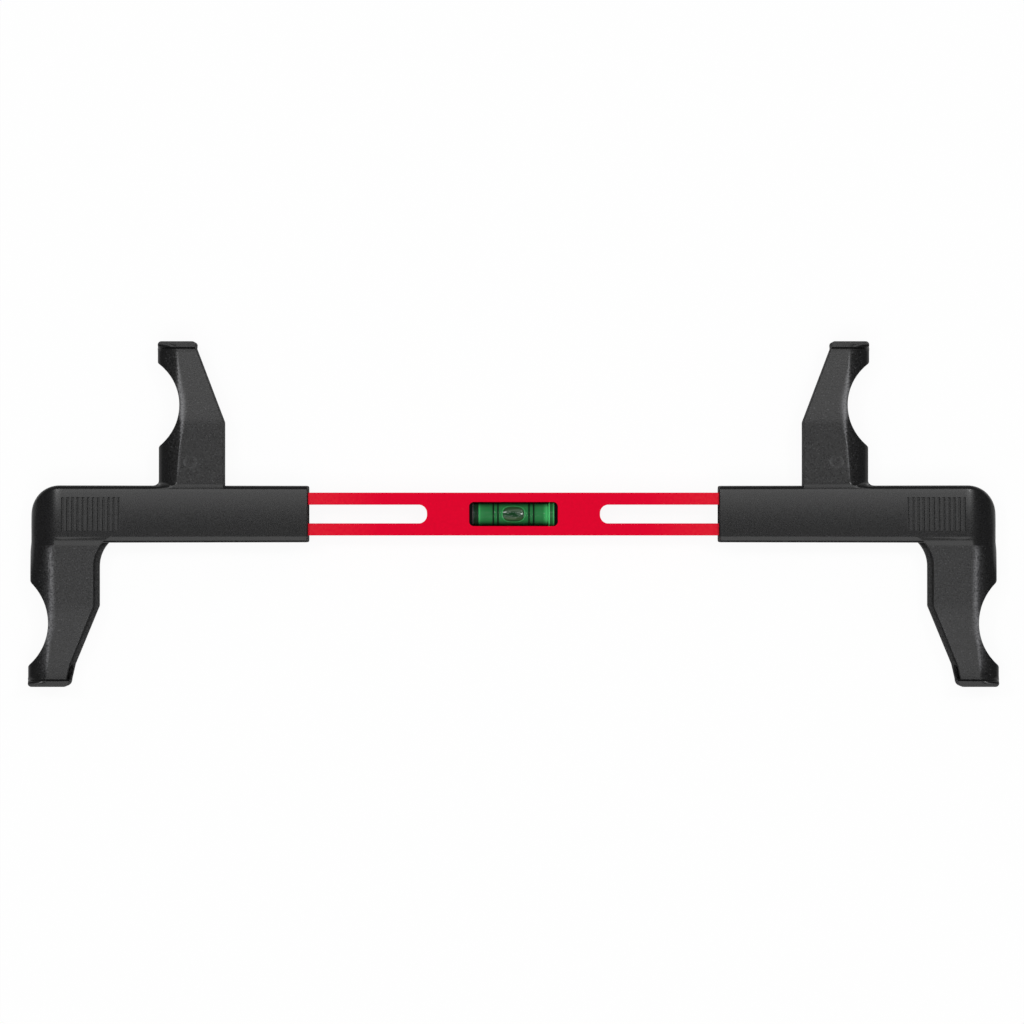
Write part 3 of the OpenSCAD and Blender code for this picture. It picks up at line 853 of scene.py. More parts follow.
def grip_ribs(grip):
    """Row of ribs in the pocket of the thumb grip, with flat tops that fall towards the upper edge."""
    half = grip.length / 2
    low = (grip.start - grip.pitch + grip.gap / 2, -half, FRONT - grip.depth - OVER)
    piece = block("grip_ribs", low, (grip.start - grip.gap / 2, half, FRONT))
    for vertex in piece.data.vertices:
        if vertex.co.z > FRONT - NEAR and vertex.co.y > 0:
            vertex.co.z -= grip.fall
    soften(piece, lambda a, b: min(a.z, b.z) > FRONT - OVER, RIB_EDGE, 2)
    bpy.ops.object.modifier_add(type="ARRAY")
    array = piece.modifiers[-1]
    array.count = grip.count
    array.use_relative_offset = False
    array.use_constant_offset = True
    array.constant_offset_displace = (-grip.pitch, 0, 0)
    bpy.ops.object.modifier_apply(modifier=array.name)
    return piece


def sink_mark(finger, place):
    """Cutter for a shallow round sink in a finger's front face."""
    radius, depth = finger.sizes.sink, finger.sizes.sink_depth
    sections = []
    for share, lift in ((1, SINK_OVER), *[(share, 0) for share in SINK_SHARES]):
        ring = []
        for x, y in circle(radius * share, 48):
            face = PARTING + finger.face(abs(place[1] + y)) + lift + SINK_LIFT
            ring.append((place[0] + x, place[1] + y, face - depth * (1 - share**2)))
        sections.append(ring)
    return loft("sink_mark", sections)


def bore_cutter(sleeve):
    """Cutter for the bore that the bar and the spring run in."""
    half = sleeve.bore_height / 2
    depth = sleeve.bore_depth / 2
    low = (sleeve.mouth - OVER, -half, PARTING - depth)
    return block("bore_cutter", low, (sleeve.bore_end, half, PARTING + depth))


def front_cover(sleeve, fingers, grip, screw):
    """Front cover of the right arm: half a sleeve with half of both fingers, ribs and the stop's post."""
    upper, lower = Finger(sleeve, fingers, False), Finger(sleeve, fingers, True)
    piece = sleeve_half("right_front_cover", sleeve, True)
    add(piece, upper.half("upper_finger", True), lower.half("lower_finger", True))
    cut(piece, bore_cutter(sleeve), grip_pocket(grip), sink_mark(upper, shell_screw_places()[0]))
    add(piece, grip_ribs(grip))
    pilot = screw.diameter / 2 + SCREW_PLAY
    for place in shell_screw_places():
        cut(piece, post("pilot", place, pilot, PARTING - OVER, PARTING + PILOT_DEPTH))
    depth = sleeve.bore_depth / 2
    add(piece, post("stop_post", (STOP_PLACE, 0), STOP_POST, PARTING - depth, PARTING + depth + OVER))
    return piece


def back_cover(sleeve, fingers, screw):
    """Back cover of the right arm, with counterbores for its screws."""
    upper, lower = Finger(sleeve, fingers, False), Finger(sleeve, fingers, True)
    piece = sleeve_half("right_back_cover", sleeve, False)
    add(piece, upper.half("upper_finger", False), lower.half("lower_finger", False))
    cut(piece, bore_cutter(sleeve), tip_recess())
    for place in shell_screw_places():
        cut(piece, post("hole", place, screw.diameter / 2 + SCREW_PLAY, -OVER, PARTING + OVER))
        cut(piece, post("counterbore", place, screw.head / 2 + HEAD_PLAY, -OVER, PARTING - SEAT_DEPTH))
    stop = (STOP_PLACE, 0)
    hole, head = screw.diameter / 2 + STOP_PLAY, screw.head / 2 + STOP_PLAY
    cut(piece, post("stop_hole", stop, hole, -OVER, PARTING))
    cut(piece, post("stop_sink", stop, head, *STOP_SINK, hole))
    cut(piece, post("stop_mouth", stop, head, -OVER, STOP_SINK[0]))
    return piece


# How level grained faces and dull walls are, where the grain starts, and where a highlight is painted on the
# edges: the middle and the spread of their tilt, and the start and the run along the finger.
FACE_LEVEL = 0.9
WALL_LEVEL = 0.3
FACE_START = 11.8
EDGE_HIGHLIGHTS = {"upper": (7, 3, 11, 8), "lower": (10, 6, 10, 5)}
HIGHLIGHT_END = 9


def choose_finishes(piece, fingers):
    """Makes a cover's walls dull and its fingers' faces grained, and notes where a highlight is painted on
    their edges.
    """
    lip_start = REACH - fingers.lip
    rub = []
    for polygon in piece.data.polygons:
        level, height = abs(polygon.normal.z), abs(polygon.center.y) / MILLIMETRE
        on_face = level > FACE_LEVEL and FACE_START < height < lip_start
        polygon.material_index = 1 if on_face else 2 if level < WALL_LEVEL else 0
        # Painted highlight: edges of the faces at the tilt where they would mirror the lamps get a weight
        # that pales their colour.
        edge_highlight = 0
        if on_face:
            tilt = math.degrees(math.asin(min(abs(polygon.normal.x), 1)))
            middle, spread, root, run = EDGE_HIGHLIGHTS["upper" if polygon.center.y > 0 else "lower"]
            reach = smooth((height - root) / run) * smooth((lip_start - height) / HIGHLIGHT_END)
            edge_highlight = reach * math.exp(-(((tilt - middle) / spread) ** 2))
        rub.append(edge_highlight)
    piece.data.attributes.new("rub", "FLOAT", "FACE").data.foreach_set("value", rub)


# Finishes

# Most values of the noise textures lie in this span.
NOISE_SPAN = (0.3, 0.7)
# Places along the bar between which its paint grows paler and paler towards the sleeves' mouths.
PALER_SPAN = (50, 78)
ACRYLIC_IOR = 1.49


def new_finish(name):
    """A new material, its nodes and its shader."""
    material = bpy.data.materials.new(name)
    material.use_nodes = True
    return material, material.node_tree, material.node_tree.nodes["Principled BSDF"]


def add_noise(tree, scale, detail=3, stretch=None):
    """A noise texture on object coordinates, in features per metre."""
    coordinates = tree.nodes.new("ShaderNodeTexCoord")
    noise = tree.nodes.new("ShaderNodeTexNoise")
    noise.inputs["Scale"].default_value = scale
    noise.inputs["Detail"].default_value = detail
    source = coordinates.outputs["Object"]
    if stretch:
        mapping = tree.nodes.new("ShaderNodeMapping")
        mapping.inputs["Scale"].default_value = stretch
        tree.links.new(source, mapping.inputs["Vector"])
        source = mapping.outputs["Vector"]
    tree.links.new(source, noise.inputs["Vector"])
    return noise.outputs["Fac"]


def add_ramp(tree, source, stops):
    """A colour ramp with stops given as (place, colour)."""
    ramp = tree.nodes.new("ShaderNodeValToRGB")
    elements = ramp.color_ramp.elements
    while len(elements) < len(stops):
        elements.new(0.5)
    for element, (place, tone) in zip(elements, stops):
        element.position = place
        element.color = (*tone, 1) if hasattr(tone, "__len__") else (tone, tone, tone, 1)
    tree.links.new(source, ramp.inputs["Fac"])
    return ramp.outputs["Color"]


def add_span(tree, source, span, target=(0, 1)):
    """Maps a span of values to another one and holds the values past its ends."""
    mapped = tree.nodes.new("ShaderNodeMapRange")
    for name, value in zip(("From Min", "From Max", "To Min", "To Max"), (*span, *target)):
        mapped.inputs[name].default_value = value
    tree.links.new(source, mapped.inputs["Value"])
    return mapped.outputs["Result"]


def add_shades(tree, source, tone, stops):
    """A colour ramp of lighter and darker shades of a tone, with stops given as (place, factor)."""
    return add_ramp(tree, source, [(place, shade(tone, factor)) for place, factor in stops])


def add_mottle(tree, noise, tone, low, high):
    """A tone that varies with noise between two factors of it."""
    return add_shades(tree, noise, tone, zip(NOISE_SPAN, (low, high)))


def set_roughness(tree, shader, noise, rough):
    """Lets the roughness vary with noise between two values."""
    tree.links.new(add_span(tree, noise, NOISE_SPAN, rough), shader.inputs["Roughness"])


def set_gloss(shader, level):
    """Sets how strongly a surface mirrors."""
    shader.inputs["Specular IOR Level"].default_value = level


def add_bump(tree, shader, source, strength, distance):
    """Bumps a surface by a height map, whose full height is given in metres."""
    bump = tree.nodes.new("ShaderNodeBump")
    bump.inputs["Strength"].default_value = strength
    bump.inputs["Distance"].default_value = distance
    tree.links.new(source, bump.inputs["Height"])
    tree.links.new(bump.outputs["Normal"], shader.inputs["Normal"])


def shade(tone, factor):
    """A lighter or darker tone of a colour."""
    return tuple(min(part * factor, 1) for part in tone)


def add_attribute(tree, name):
    """A value noted on a piece's mesh."""
    attribute = tree.nodes.new("ShaderNodeAttribute")
    attribute.attribute_name = name
    return attribute.outputs["Fac"]


def add_place(tree, axis):
    """Place along an axis of the object, in millimetres."""
    coordinates = tree.nodes.new("ShaderNodeTexCoord")
    parts = tree.nodes.new("ShaderNodeSeparateXYZ")
    tree.links.new(coordinates.outputs["Object"], parts.inputs["Vector"])
    return add_math(tree, "DIVIDE", parts.outputs[axis], MILLIMETRE)


def add_mix(tree, share, first, second):
    """Mixes two colours by a share."""
    mix = tree.nodes.new("ShaderNodeMix")
    mix.data_type = "RGBA"
    tree.links.new(share, mix.inputs["Factor"])
    for socket, source in ((mix.inputs["A"], first), (mix.inputs["B"], second)):
        if hasattr(source, "is_output"):
            tree.links.new(source, socket)
        else:
            socket.default_value = (*source, 1)
    return mix.outputs["Result"]


def add_math(tree, operation, first, second):
    """Calculates with two values, of which the second may be a number."""
    node = tree.nodes.new("ShaderNodeMath")
    node.operation = operation
    tree.links.new(first, node.inputs[0])
    if hasattr(second, "is_output"):
        tree.links.new(second, node.inputs[1])
    else:
        node.inputs[1].default_value = second
    return node.outputs["Value"]


def plastic_finish(name, tone, grain, depth, rough, gloss, flecks):
    """Moulded black plastic with an eroded grain, a painted highlight on the edges, and flecks past a level
    of noise.
    """
    material, tree, shader = new_finish(name)
    noise = add_noise(tree, grain, 2)
    base = add_mottle(tree, noise, tone, 0.3, 2.6)
    spots = add_ramp(tree, add_noise(tree, 0.9 * grain, 1), [(flecks, 0), (flecks + 0.08, 1)])
    base = add_mix(tree, spots, base, shade(tone, 8))
    # Painted highlight: a much paler tone where the mesh's attribute marks the faces' edges.
    edge_highlight = add_mottle(tree, noise, tone, 10, 34)
    tree.links.new(add_mix(tree, add_attribute(tree, "rub"), base, edge_highlight), shader.inputs["Base Color"])
    set_roughness(tree, shader, noise, rough)
    set_gloss(shader, gloss)
    add_bump(tree, shader, noise, 0.6, depth)
    return material


def paint_finish(tone):
    """Red paint, paler in patches towards the sleeves' mouths, and marked by a few scuffs."""
    material, tree, shader = new_finish("red_paint")
    cloud = add_noise(tree, 900, 4)
    base = add_mottle(tree, cloud, tone, 0.95, 1.04)
    along = add_math(tree, "ABSOLUTE", add_place(tree, "X"), 0)
    patches = add_span(tree, cloud, NOISE_SPAN, (0.3, 1.1))
    paler_share = add_math(tree, "MULTIPLY", add_span(tree, along, PALER_SPAN), patches)
    base = add_mix(tree, paler_share, base, (tone[0], 0.02, 0.034))
    scuffs = add_ramp(tree, add_noise(tree, 260, 4, (1, 3, 1)), [(0.74, 0), (0.8, 0.4)])
    base = add_mix(tree, scuffs, base, (0.62, 0.10, 0.06))
    tree.links.new(base, shader.inputs["Base Color"])
    set_roughness(tree, shader, cloud, (0.45, 0.6))
    set_gloss(shader, 0.01)
    add_bump(tree, shader, add_noise(tree, 1500, 1), 0.2, 0.00004)
    return material


def metal_finish(name, tone, rough, streaks):
    """Metal with fine streaks."""
    material, tree, shader = new_finish(name)
    noise = add_noise(tree, 1200, 3, streaks)
    tree.links.new(add_mottle(tree, noise, tone, 0.8, 1.15), shader.inputs["Base Color"])
    set_roughness(tree, shader, noise, rough)
    shader.inputs["Metallic"].default_value = 1
    add_bump(tree, shader, noise, 0.2, 0.00002)
    return material


def acrylic_finish(name, tone, alpha):
    """Acrylic of the vial's barrel, more or less clear."""
    material, tree, shader = new_finish(name)
    noise = add_noise(tree, 300)
    tree.links.new(add_mottle(tree, noise, tone, 0.9, 1.1), shader.inputs["Base Color"])
    set_roughness(tree, shader, noise, (0.04, 0.1))
    shader.inputs["Alpha"].default_value = alpha
    shader.inputs["IOR"].default_value = ACRYLIC_IOR
    return material


def end_finish(tone):
    """Solid end of the barrel, with a painted green glow where the liquid ends and at its far edge."""
    material, tree, shader = new_finish("tinted_acrylic")
    along = add_span(tree, add_place(tree, "X"), (FLUID_HIGH.x, BARREL_HIGH.x))
    # Painted light: bright green bands with darker bands between them, in place of how the glass end catches
    # light.
    stops = [(0, 3.4), (0.13, 3.2), (0.2, 0.55), (0.65, 0.5), (0.74, 1.6), (0.88, 1.5), (0.95, 0.2)]
    tree.links.new(add_shades(tree, along, tone, stops), shader.inputs["Base Color"])
    set_roughness(tree, shader, add_noise(tree, 300), (0.2, 0.3))
    set_gloss(shader, 0.1)
    return material


def fluid_finish(tone):
    """Dyed liquid, with a painted highlight at each of its two ends and painted shade towards its upper and
    lower edges.
    """
    material, tree, shader = new_finish("green_fluid")
    base = add_mottle(tree, add_noise(tree, 250), tone, 0.92, 1.08)
    along = add_span(tree, add_place(tree, "X"), (FLUID_LOW.x, FLUID_HIGH.x))
    # Painted highlight: bright bands at both ends of the liquid.
    ends = add_ramp(tree, along, [(0.01, 0.6), (0.03, 0.1), (0.08, 0), (0.92, 0), (0.985, 0.9)])
    base = add_mix(tree, ends, base, shade(tone, 3))
    # Painted shade: darker towards the liquid's upper and lower edges.
    across = add_span(tree, add_place(tree, "Y"), (FLUID_LOW.y, FLUID_HIGH.y))
    edges = add_ramp(tree, across, [(0.02, 0.6), (0.2, 0), (0.84, 0), (0.97, 0.6)])
    tree.links.new(add_mix(tree, edges, base, shade(tone, 0.15)), shader.inputs["Base Color"])
    shader.inputs["Roughness"].default_value = 0.4
    set_gloss(shader, 0.01)
    return material


def bubble_finish(tone, width):
    """Air under the barrel in painted light: painted shade in a dark middle, olive painted bands above and
    below it, and a painted highlight on a bright rim.
    """
    material, tree, shader = new_finish("bubble_air")
    outwards = add_attribute(tree, "outwards")
    # Painted highlight on the rim and painted shade in the middle.
    stops = [(0.3, 0.22), (0.8, 0.3), (0.86, 0.15), (0.9, 1.6), (0.95, 2.4), (1, 1.3)]
    inside = add_shades(tree, outwards, tone, stops)
    across = add_span(tree, add_place(tree, "Y"), (-width / 2, width / 2))
    # Painted olive bands above and below the middle.
    zones = add_ramp(tree, across, [(0.12, 0), (0.17, 0.8), (0.3, 0.7), (0.36, 0), (0.62, 0), (0.72, 0.4)])
    zones = add_math(tree, "MULTIPLY", zones, add_ramp(tree, outwards, [(0.8, 1), (0.87, 0)]))
    tree.links.new(add_mix(tree, zones, inside, (0.045, 0.085, 0.03)), shader.inputs["Base Color"])
    shader.inputs["Roughness"].default_value = 0.06
    set_gloss(shader, 0.17)
    return material


def dull_finish(name, tone, rough):
    """Plain moulded or printed surface with a slight unevenness."""
    material, tree, shader = new_finish(name)
    noise = add_noise(tree, 1200, 2)
    tree.links.new(add_mottle(tree, noise, tone, 0.8, 1.2), shader.inputs["Base Color"])
    set_roughness(tree, shader, noise, rough)
    set_gloss(shader, 0.05)
    return material


def dress(node, finish_material):
    """Gives a CAD node that stays a finish."""
    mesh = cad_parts[node].data
    mesh.materials.clear()
    mesh.materials.append(finish_material)


# Vial

BORE = (FLUID_HIGH.y - FLUID_LOW.y) / 2
# The liquid and the plug are drawn as large as the curve of the barrel makes them look.
SKIN = BORE + 0.55
BARREL_RADIUS = (BARREL_HIGH.z - BARREL_LOW.z) / 2 - 0.03
BARREL_RIM = 0.4
# The bubble: how full its outline is, its depth, its height in the middle, and how that grows to the crest.
BUBBLE_POWER = 2.6
BUBBLE_DEPTH = 0.1
BUBBLE_MIDDLE = 0.02
BUBBLE_CREST = 0.9
BUBBLE_CURVE = 1.53
# The flat side of the bubble's dish: start and fade of its length, width and crest, and its curve and lean.
FLAT_LENGTH = (0.5, 1.5)
FLAT_WIDTH = (2, 1.2)
FLAT_FADE = 0.12
FLAT_CURVE = 0.04
FLAT_LEAN = 0.103


def turned(name, outline):
    """A solid turned round the vial's axis, from places along the axis and radii."""
    sections = [[(x, y, VIAL_AXIS + z) for y, z in circle(radius)] for x, radius in outline]
    return loft(name, sections)


def vial_glass():
    """Barrel of the vial, with a bore that ends where the liquid does."""
    left, right, bore_end = BARREL_LOW.x, BARREL_HIGH.x, FLUID_HIGH.x
    outline = [
        (bore_end, BORE - 0.6),
        (bore_end - 0.2, BORE - 0.2),
        (bore_end - 0.6, BORE),
        (left, BORE),
        (left, BARREL_RADIUS - BARREL_RIM),
        (left + 0.12, BARREL_RADIUS - 0.12),
        (left + BARREL_RIM, BARREL_RADIUS),
        (bore_end, BARREL_RADIUS),
        (right - BARREL_RIM, BARREL_RADIUS),
        (right - 0.12, BARREL_RADIUS - 0.12),
        (right, BARREL_RADIUS - BARREL_RIM),
    ]
    return turned("vial_glass", outline)


def vial_liquid():
    """Liquid in the barrel, with a round right end."""
    outline = [
        (FLUID_LOW.x, SKIN - 0.3),
        (FLUID_LOW.x + 0.1, SKIN),
        (FLUID_HIGH.x - 0.5, SKIN),
        (FLUID_HIGH.x - 0.1, SKIN - 0.3),
        (FLUID_HIGH.x, SKIN - 0.7),
    ]
    return turned("vial_liquid", outline)


def vial_stopper():
    """Plug in the left end of the barrel."""
    outline = [
        (BARREL_LOW.x + 0.5, SKIN - 0.4),
        (BARREL_LOW.x + 0.6, SKIN - 0.1),
        (BARREL_LOW.x + 0.8, SKIN),
        (FLUID_LOW.x - 0.2, SKIN),
        (FLUID_LOW.x - 0.05, SKIN - 0.2),
    ]
    return turned("vial_stopper", outline)


def bubble_height(share, rim):
    """Height of the bubble's dished surface at a share of the way from its middle to its outline."""
    if share < BUBBLE_CREST:
        return BUBBLE_MIDDLE + (rim - BUBBLE_MIDDLE) * (share / BUBBLE_CREST) ** BUBBLE_CURVE
    return rim * math.sqrt(max(1 - ((share - BUBBLE_CREST) / (1 - BUBBLE_CREST)) ** 2, 0))


def bubble_flat(share, x, y):
    """Rise that flattens the right side of the dish and leans it upwards, so that it mirrors a lamp."""
    part = smooth((x - FLAT_LENGTH[0]) / FLAT_LENGTH[1])
    part *= smooth((FLAT_WIDTH[0] - abs(y)) / FLAT_WIDTH[1])
    part *= smooth((BUBBLE_CREST - share) / FLAT_FADE)
    return part * (FLAT_CURVE * y**2 - FLAT_LEAN * y)


def air_bubble(sizes):
    """Bubble on the liquid, with a dished top and a note of how far outwards each point lies."""
    bpy.ops.object.select_all(action="DESELECT")
    bpy.ops.mesh.primitive_uv_sphere_add(segments=64, ring_count=48, radius=1)
    piece = named("air_bubble")
    outwards = piece.data.attributes.new("outwards", "FLOAT", "POINT")
    for vertex in piece.data.vertices:
        x, y = vertex.co.xy
        share = min(math.hypot(x, y), 1)
        outwards.data[vertex.index].value = share
        outline = (abs(x) ** BUBBLE_POWER + abs(y) ** BUBBLE_POWER) ** (1 / BUBBLE_POWER)
        fullness = share / max(outline, 0.001)
        vertex.co.x = x * fullness * sizes.bubble_length / 2
        vertex.co.y = y * fullness * sizes.bubble_width / 2
        lift = -BUBBLE_DEPTH
        if vertex.co.z > 0:
            lift = bubble_height(share, sizes.bubble_rim) + bubble_flat(share, *vertex.co.xy)
        vertex.co.z = VIAL_AXIS + math.sqrt(SKIN * SKIN - vertex.co.y**2) + lift
    return piece


# Screws

# The cross recess: its length and width as shares of the head's width, its taper, and its depths.
CROSS_LENGTH = 0.6
CROSS_WIDTH = 0.16
CROSS_TAPER = 0.7
PAN_CROSS_DEPTH = 0.6
SUNK_CROSS_DEPTH = 0.8
# Rounding of a pan head as a share of its height, width of a screw's point, and how deep shafts are set in.
PAN_ROUNDING = 0.45
POINT_SHARE = 0.4
SHAFT_IN = 0.2


def cross_cutter(width, depth):
    """Cutter for a cross recess that opens at zero and narrows upwards."""
    long, short = CROSS_LENGTH * width / 2, CROSS_WIDTH * width / 2
    bars = []
    for x, y in ((long, short), (short, long)):
        bar = block("cross_bar", (-x, -y, -OVER), (x, y, depth))
        for vertex in bar.data.vertices:
            if vertex.co.z > 0:
                vertex.co.x *= CROSS_TAPER
                vertex.co.y *= CROSS_TAPER
        bars.append(bar)
    add(*bars)
    return bars[0]


def pan_screw(name, radius, head, head_height, whole):
    """Pan head screw that points up, from its head's top at zero."""
    piece = post(name, (0, 0), head, 0, head_height)
    soften(piece, lambda a, b: a.z < NEAR and b.z < NEAR, PAN_ROUNDING * head_height, 5)
    cut(piece, cross_cutter(2 * head, PAN_CROSS_DEPTH * head_height))
    shaft_end = whole - radius
    shaft = post("shaft", (0, 0), radius, head_height - SHAFT_IN, shaft_end)
    point = post("point", (0, 0), radius, shaft_end - NEAR, whole, POINT_SHARE * radius)
    add(piece, shaft, point)
    return piece


def sunk_screw(name, radius, head, whole):
    """Countersunk screw that points up, from its flat head at zero."""
    cone = head - radius
    piece = post(name, (0, 0), head, 0, cone, radius)
    add(piece, post("shaft", (0, 0), radius, cone - SHAFT_IN, whole))
    cut(piece, cross_cutter(2 * head, SUNK_CROSS_DEPTH))
    return piece


def screw_set(name, model, places):
    """Copies of a screw at some places as one piece, and removes the model."""
    copies = []
    for place in places:
        pick(model)
        bpy.ops.object.duplicate()
        copies.append(bpy.context.object)
        move(copies[-1], place)
    bpy.data.objects.remove(model)
    return join(name, copies)


# Operators


class LEVEL_OT_bar(bpy.types.Operator):
    """Model the painted bar with its slots and window"""

    bl_idname = "level.bar"
    bl_label = "Bar"

    SLOT_STEPS = 16
    RIM_HALF = 6
    # Radius and depth of the holes for the studs and for the screws of the vial's bed.
    STUD_HOLE = (2.55, 8.1)
    SCREW_HOLE = (1.15, 8.2)

    def on_rim(self, point, level):
        """Whether a point at a level is on the rim of a slot or of the window."""
        return abs(point.z - level) < NEAR and abs(point.y) < self.RIM_HALF

    def execute(self, context):
        sizes = in_millimetres(context.scene.level_bar)
        tones = context.scene.level_colours
        low, high = BAR_LOW, BAR_HIGH
        piece = block("painted_bar", low, high)
        soften(piece, lambda a, b: abs(a.x - b.x) > OVER or abs(a.z - b.z) > OVER, sizes.edge, 3)
        half = sizes.slot_height / 2
        for side in (-1, 1):
            places = sorted((side * sizes.slot_start, side * (STOP_PLACE + half)))
            outline = round_box_outline((places[0], -half), (places[1], half), half - NEAR, self.SLOT_STEPS)
            cut(piece, upright("slot_cutter", outline, low.z - OVER, high.z + OVER))
        window = Vector((sizes.window_length / 2, sizes.window_height / 2))
        outline = round_box_outline(-window, window, sizes.window_corner)
        cut(piece, upright("window_cutter", outline, VIAL_AXIS, high.z + OVER))
        for level in (high.z, low.z):
            soften(piece, lambda a, b: self.on_rim(a, level) and self.on_rim(b, level), sizes.rim, 2)
        pocket = sizes.pocket / 2
        bed = block("bed_cutter", (-window.x, -pocket, low.z - OVER), (window.x, pocket, VIAL_AXIS))
        ears = block(
            "ear_cutter",
            (-window.x - sizes.ear, -pocket, low.z - OVER),
            (window.x + sizes.ear, pocket, low.z + sizes.ear_depth),
        )
        cut(piece, rod("vial_cutter", -window.x, window.x, pocket, VIAL_AXIS), bed, ears)
        stud, stud_depth = self.STUD_HOLE
        screw, screw_depth = self.SCREW_HOLE
        for side in (-1, 1):
            start, end = sorted((side * (high.x + OVER), side * (high.x - stud_depth)))
            cut(piece, rod("stud_cutter", start, end, stud, PARTING))
            place = (side * (window.x + sizes.ear / 2), 0)
            cut(piece, post("bed_screw_cutter", place, screw, low.z - OVER, low.z + screw_depth))
        finish(piece, "bar", "red_paint", "bar", paint_finish(tones.paint))
        return {"FINISHED"}


class LEVEL_OT_arm_covers(bpy.types.Operator):
    """Model the front and back covers of both arms"""

    bl_idname = "level.arm_covers"
    bl_label = "Arm covers"

    def execute(self, context):
        scene = context.scene
        sleeve, fingers = in_millimetres(scene.level_sleeve), in_millimetres(scene.level_fingers)
        grip, screw = in_millimetres(scene.level_grip), in_millimetres(scene.level_screws)
        tone = scene.level_colours.plastic
        finishes = [
            plastic_finish("fine_black_plastic", tone, 2600, 0.000008, (0.2, 0.26), 0.24, 0.72),
            plastic_finish("grained_black_plastic", tone, 1700, 0.00006, (0.25, 0.34), 0.25, 0.64),
            plastic_finish("dull_black_plastic", tone, 2600, 0.00002, (0.6, 0.7), 0.03, 0.74),
        ]
        covers = {
            "front": front_cover(sleeve, fingers, grip, screw),
            "back": back_cover(sleeve, fingers, screw),
        }
        for half, right in covers.items():
            for piece in finish_both(right, f"{half}_cover", "black_plastic", f"{half}_shell", *finishes):
                choose_finishes(piece, fingers)
        return {"FINISHED"}


class LEVEL_OT_vial(bpy.types.Operator):
    """Model the bubble vial: its barrel, liquid, plug, reading lines and bubble"""

    bl_idname = "level.vial"
    bl_label = "Vial"

    def execute(self, context):
        sizes = in_millimetres(context.scene.level_vial)
        tones = context.scene.level_colours
        barrel = vial_glass()
        acrylics = [
            acrylic_finish("clear_acrylic", (0.01, 0.04, 0.02), 0.1),
            end_finish(tones.fluid),
            # Pale and nearly opaque left rim of the barrel: a painted highlight.
            acrylic_finish("barrel_rim", (0.06, 0.08, 0.07), 0.8),
        ]
        finish(barrel, "bar", "clear_acrylic", "vial_barrel", *acrylics)
        for polygon in barrel.data.polygons:
            along = polygon.center.x / MILLIMETRE
            if along > FLUID_HIGH.x:
                polygon.material_index = 1
            # The left rim takes the painted highlight.
            elif along < BARREL_LOW.x + BARREL_RIM:
                polygon.material_index = 2
        finish(vial_liquid(), "bar", "green_fluid", "vial_fluid", fluid_finish(tones.fluid))
        plug = dull_finish("dark_plug", tones.plug, (0.3, 0.5))
        finish(vial_stopper(), "bar", "dark_plug", "vial_plug", plug)
        dress("vial_lines", dull_finish("reading_ink", tones.ink, (0.4, 0.6)))
        air = bubble_finish(tones.fluid, sizes.bubble_width)
        finish(air_bubble(sizes), "bubble", "air", "bubble", air)
        return {"FINISHED"}


class LEVEL_OT_screws(bpy.types.Operator):
    """Model the shell screws, the stop screws and the screws of the vial's bed"""

    bl_idname = "level.screws"
    bl_label = "Screws"

    def execute(self, context):
        sizes = in_millimetres(context.scene.level_screws)
        tones = context.scene.level_colours
        black = metal_finish("blackened_steel", tones.black_steel, (0.35, 0.5), (1, 1, 1))
        bright = metal_finish("bright_steel", tones.steel, (0.22, 0.38), (1, 1, 6))
        radius, head = sizes.diameter / 2, sizes.head / 2
        low, high = box_of("right_shell_screws")
        model = pan_screw("screw", radius, head, sizes.head_height, high.z - low.z)
        places = [(*place, low.z) for place in shell_screw_places()]
        covers = screw_set("right_cover_screws", model, places)
        finish_both(covers, "cover_screws", "black_steel", "shell_screws", black)

        low, high = box_of("right_stop_screw")
        stop = sunk_screw("right_post_screw", radius, head, high.z - low.z)
        move(stop, (STOP_PLACE, 0, low.z))
        finish_both(stop, "post_screw", "black_steel", "stop_screw", black)

        radius, head = sizes.bed_diameter / 2, sizes.bed_head / 2
        low, high = box_of("carrier_screws")
        model = pan_screw("bed_screw", radius, head, sizes.bed_head_height, high.z - low.z)
        places = [(side * (high.x - head), 0, low.z) for side in (-1, 1)]
        finish(screw_set("bed_screws", model, places), "bar", "steel", "carrier_screws", bright)
        return {"FINISHED"}


class LEVEL_OT_springs(bpy.types.Operator):
    """Wind the return springs inside the sleeves"""

    bl_idname = "level.springs"
    bl_label = "Return springs"

    TURNS = 20
    STEPS = 28
    WIRE = 0.45
    WIRE_SIDES = 10

    def coil(self, whole):
        """Coil of the right spring, which lies along the bar's axis."""
        outer = (SPRING_HIGH.y - SPRING_LOW.y) / 2
        start = (SPRING_LOW.x + self.WIRE, outer - self.WIRE, 0)
        bpy.ops.object.select_all(action="DESELECT")
        bpy.ops.mesh.primitive_circle_add(vertices=self.WIRE_SIDES, radius=self.WIRE, location=start)
        piece = named("right_coil")
        bpy.ops.object.modifier_add(type="SCREW")
        screw = piece.modifiers[-1]
        screw.axis = "X"
        screw.iterations = self.TURNS
        screw.screw_offset = (whole - 2 * self.WIRE) / self.TURNS
        screw.steps = self.STEPS
        screw.render_steps = self.STEPS
        bpy.ops.object.modifier_apply(modifier=screw.name)
        bpy.ops.object.mode_set(mode="EDIT")
        bpy.ops.mesh.select_all(action="SELECT")
        bpy.ops.mesh.fill_holes(sides=0)
        bpy.ops.transform.translate(value=(0, 0, PARTING))
        bpy.ops.object.mode_set(mode="OBJECT")
        return piece

    def execute(self, context):
        tones = context.scene.level_colours
        whole = SPRING_HIGH.x - SPRING_LOW.x
        bright = metal_finish("spring_wire", tones.steel, (0.25, 0.4), (1, 1, 1))
        pair = finish_both(self.coil(whole), "coil", "spring_steel", "spring", bright)
        for piece, side, sign in zip(pair, SIDES, (-1, 1)):
            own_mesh(piece)
        return {"FINISHED"}


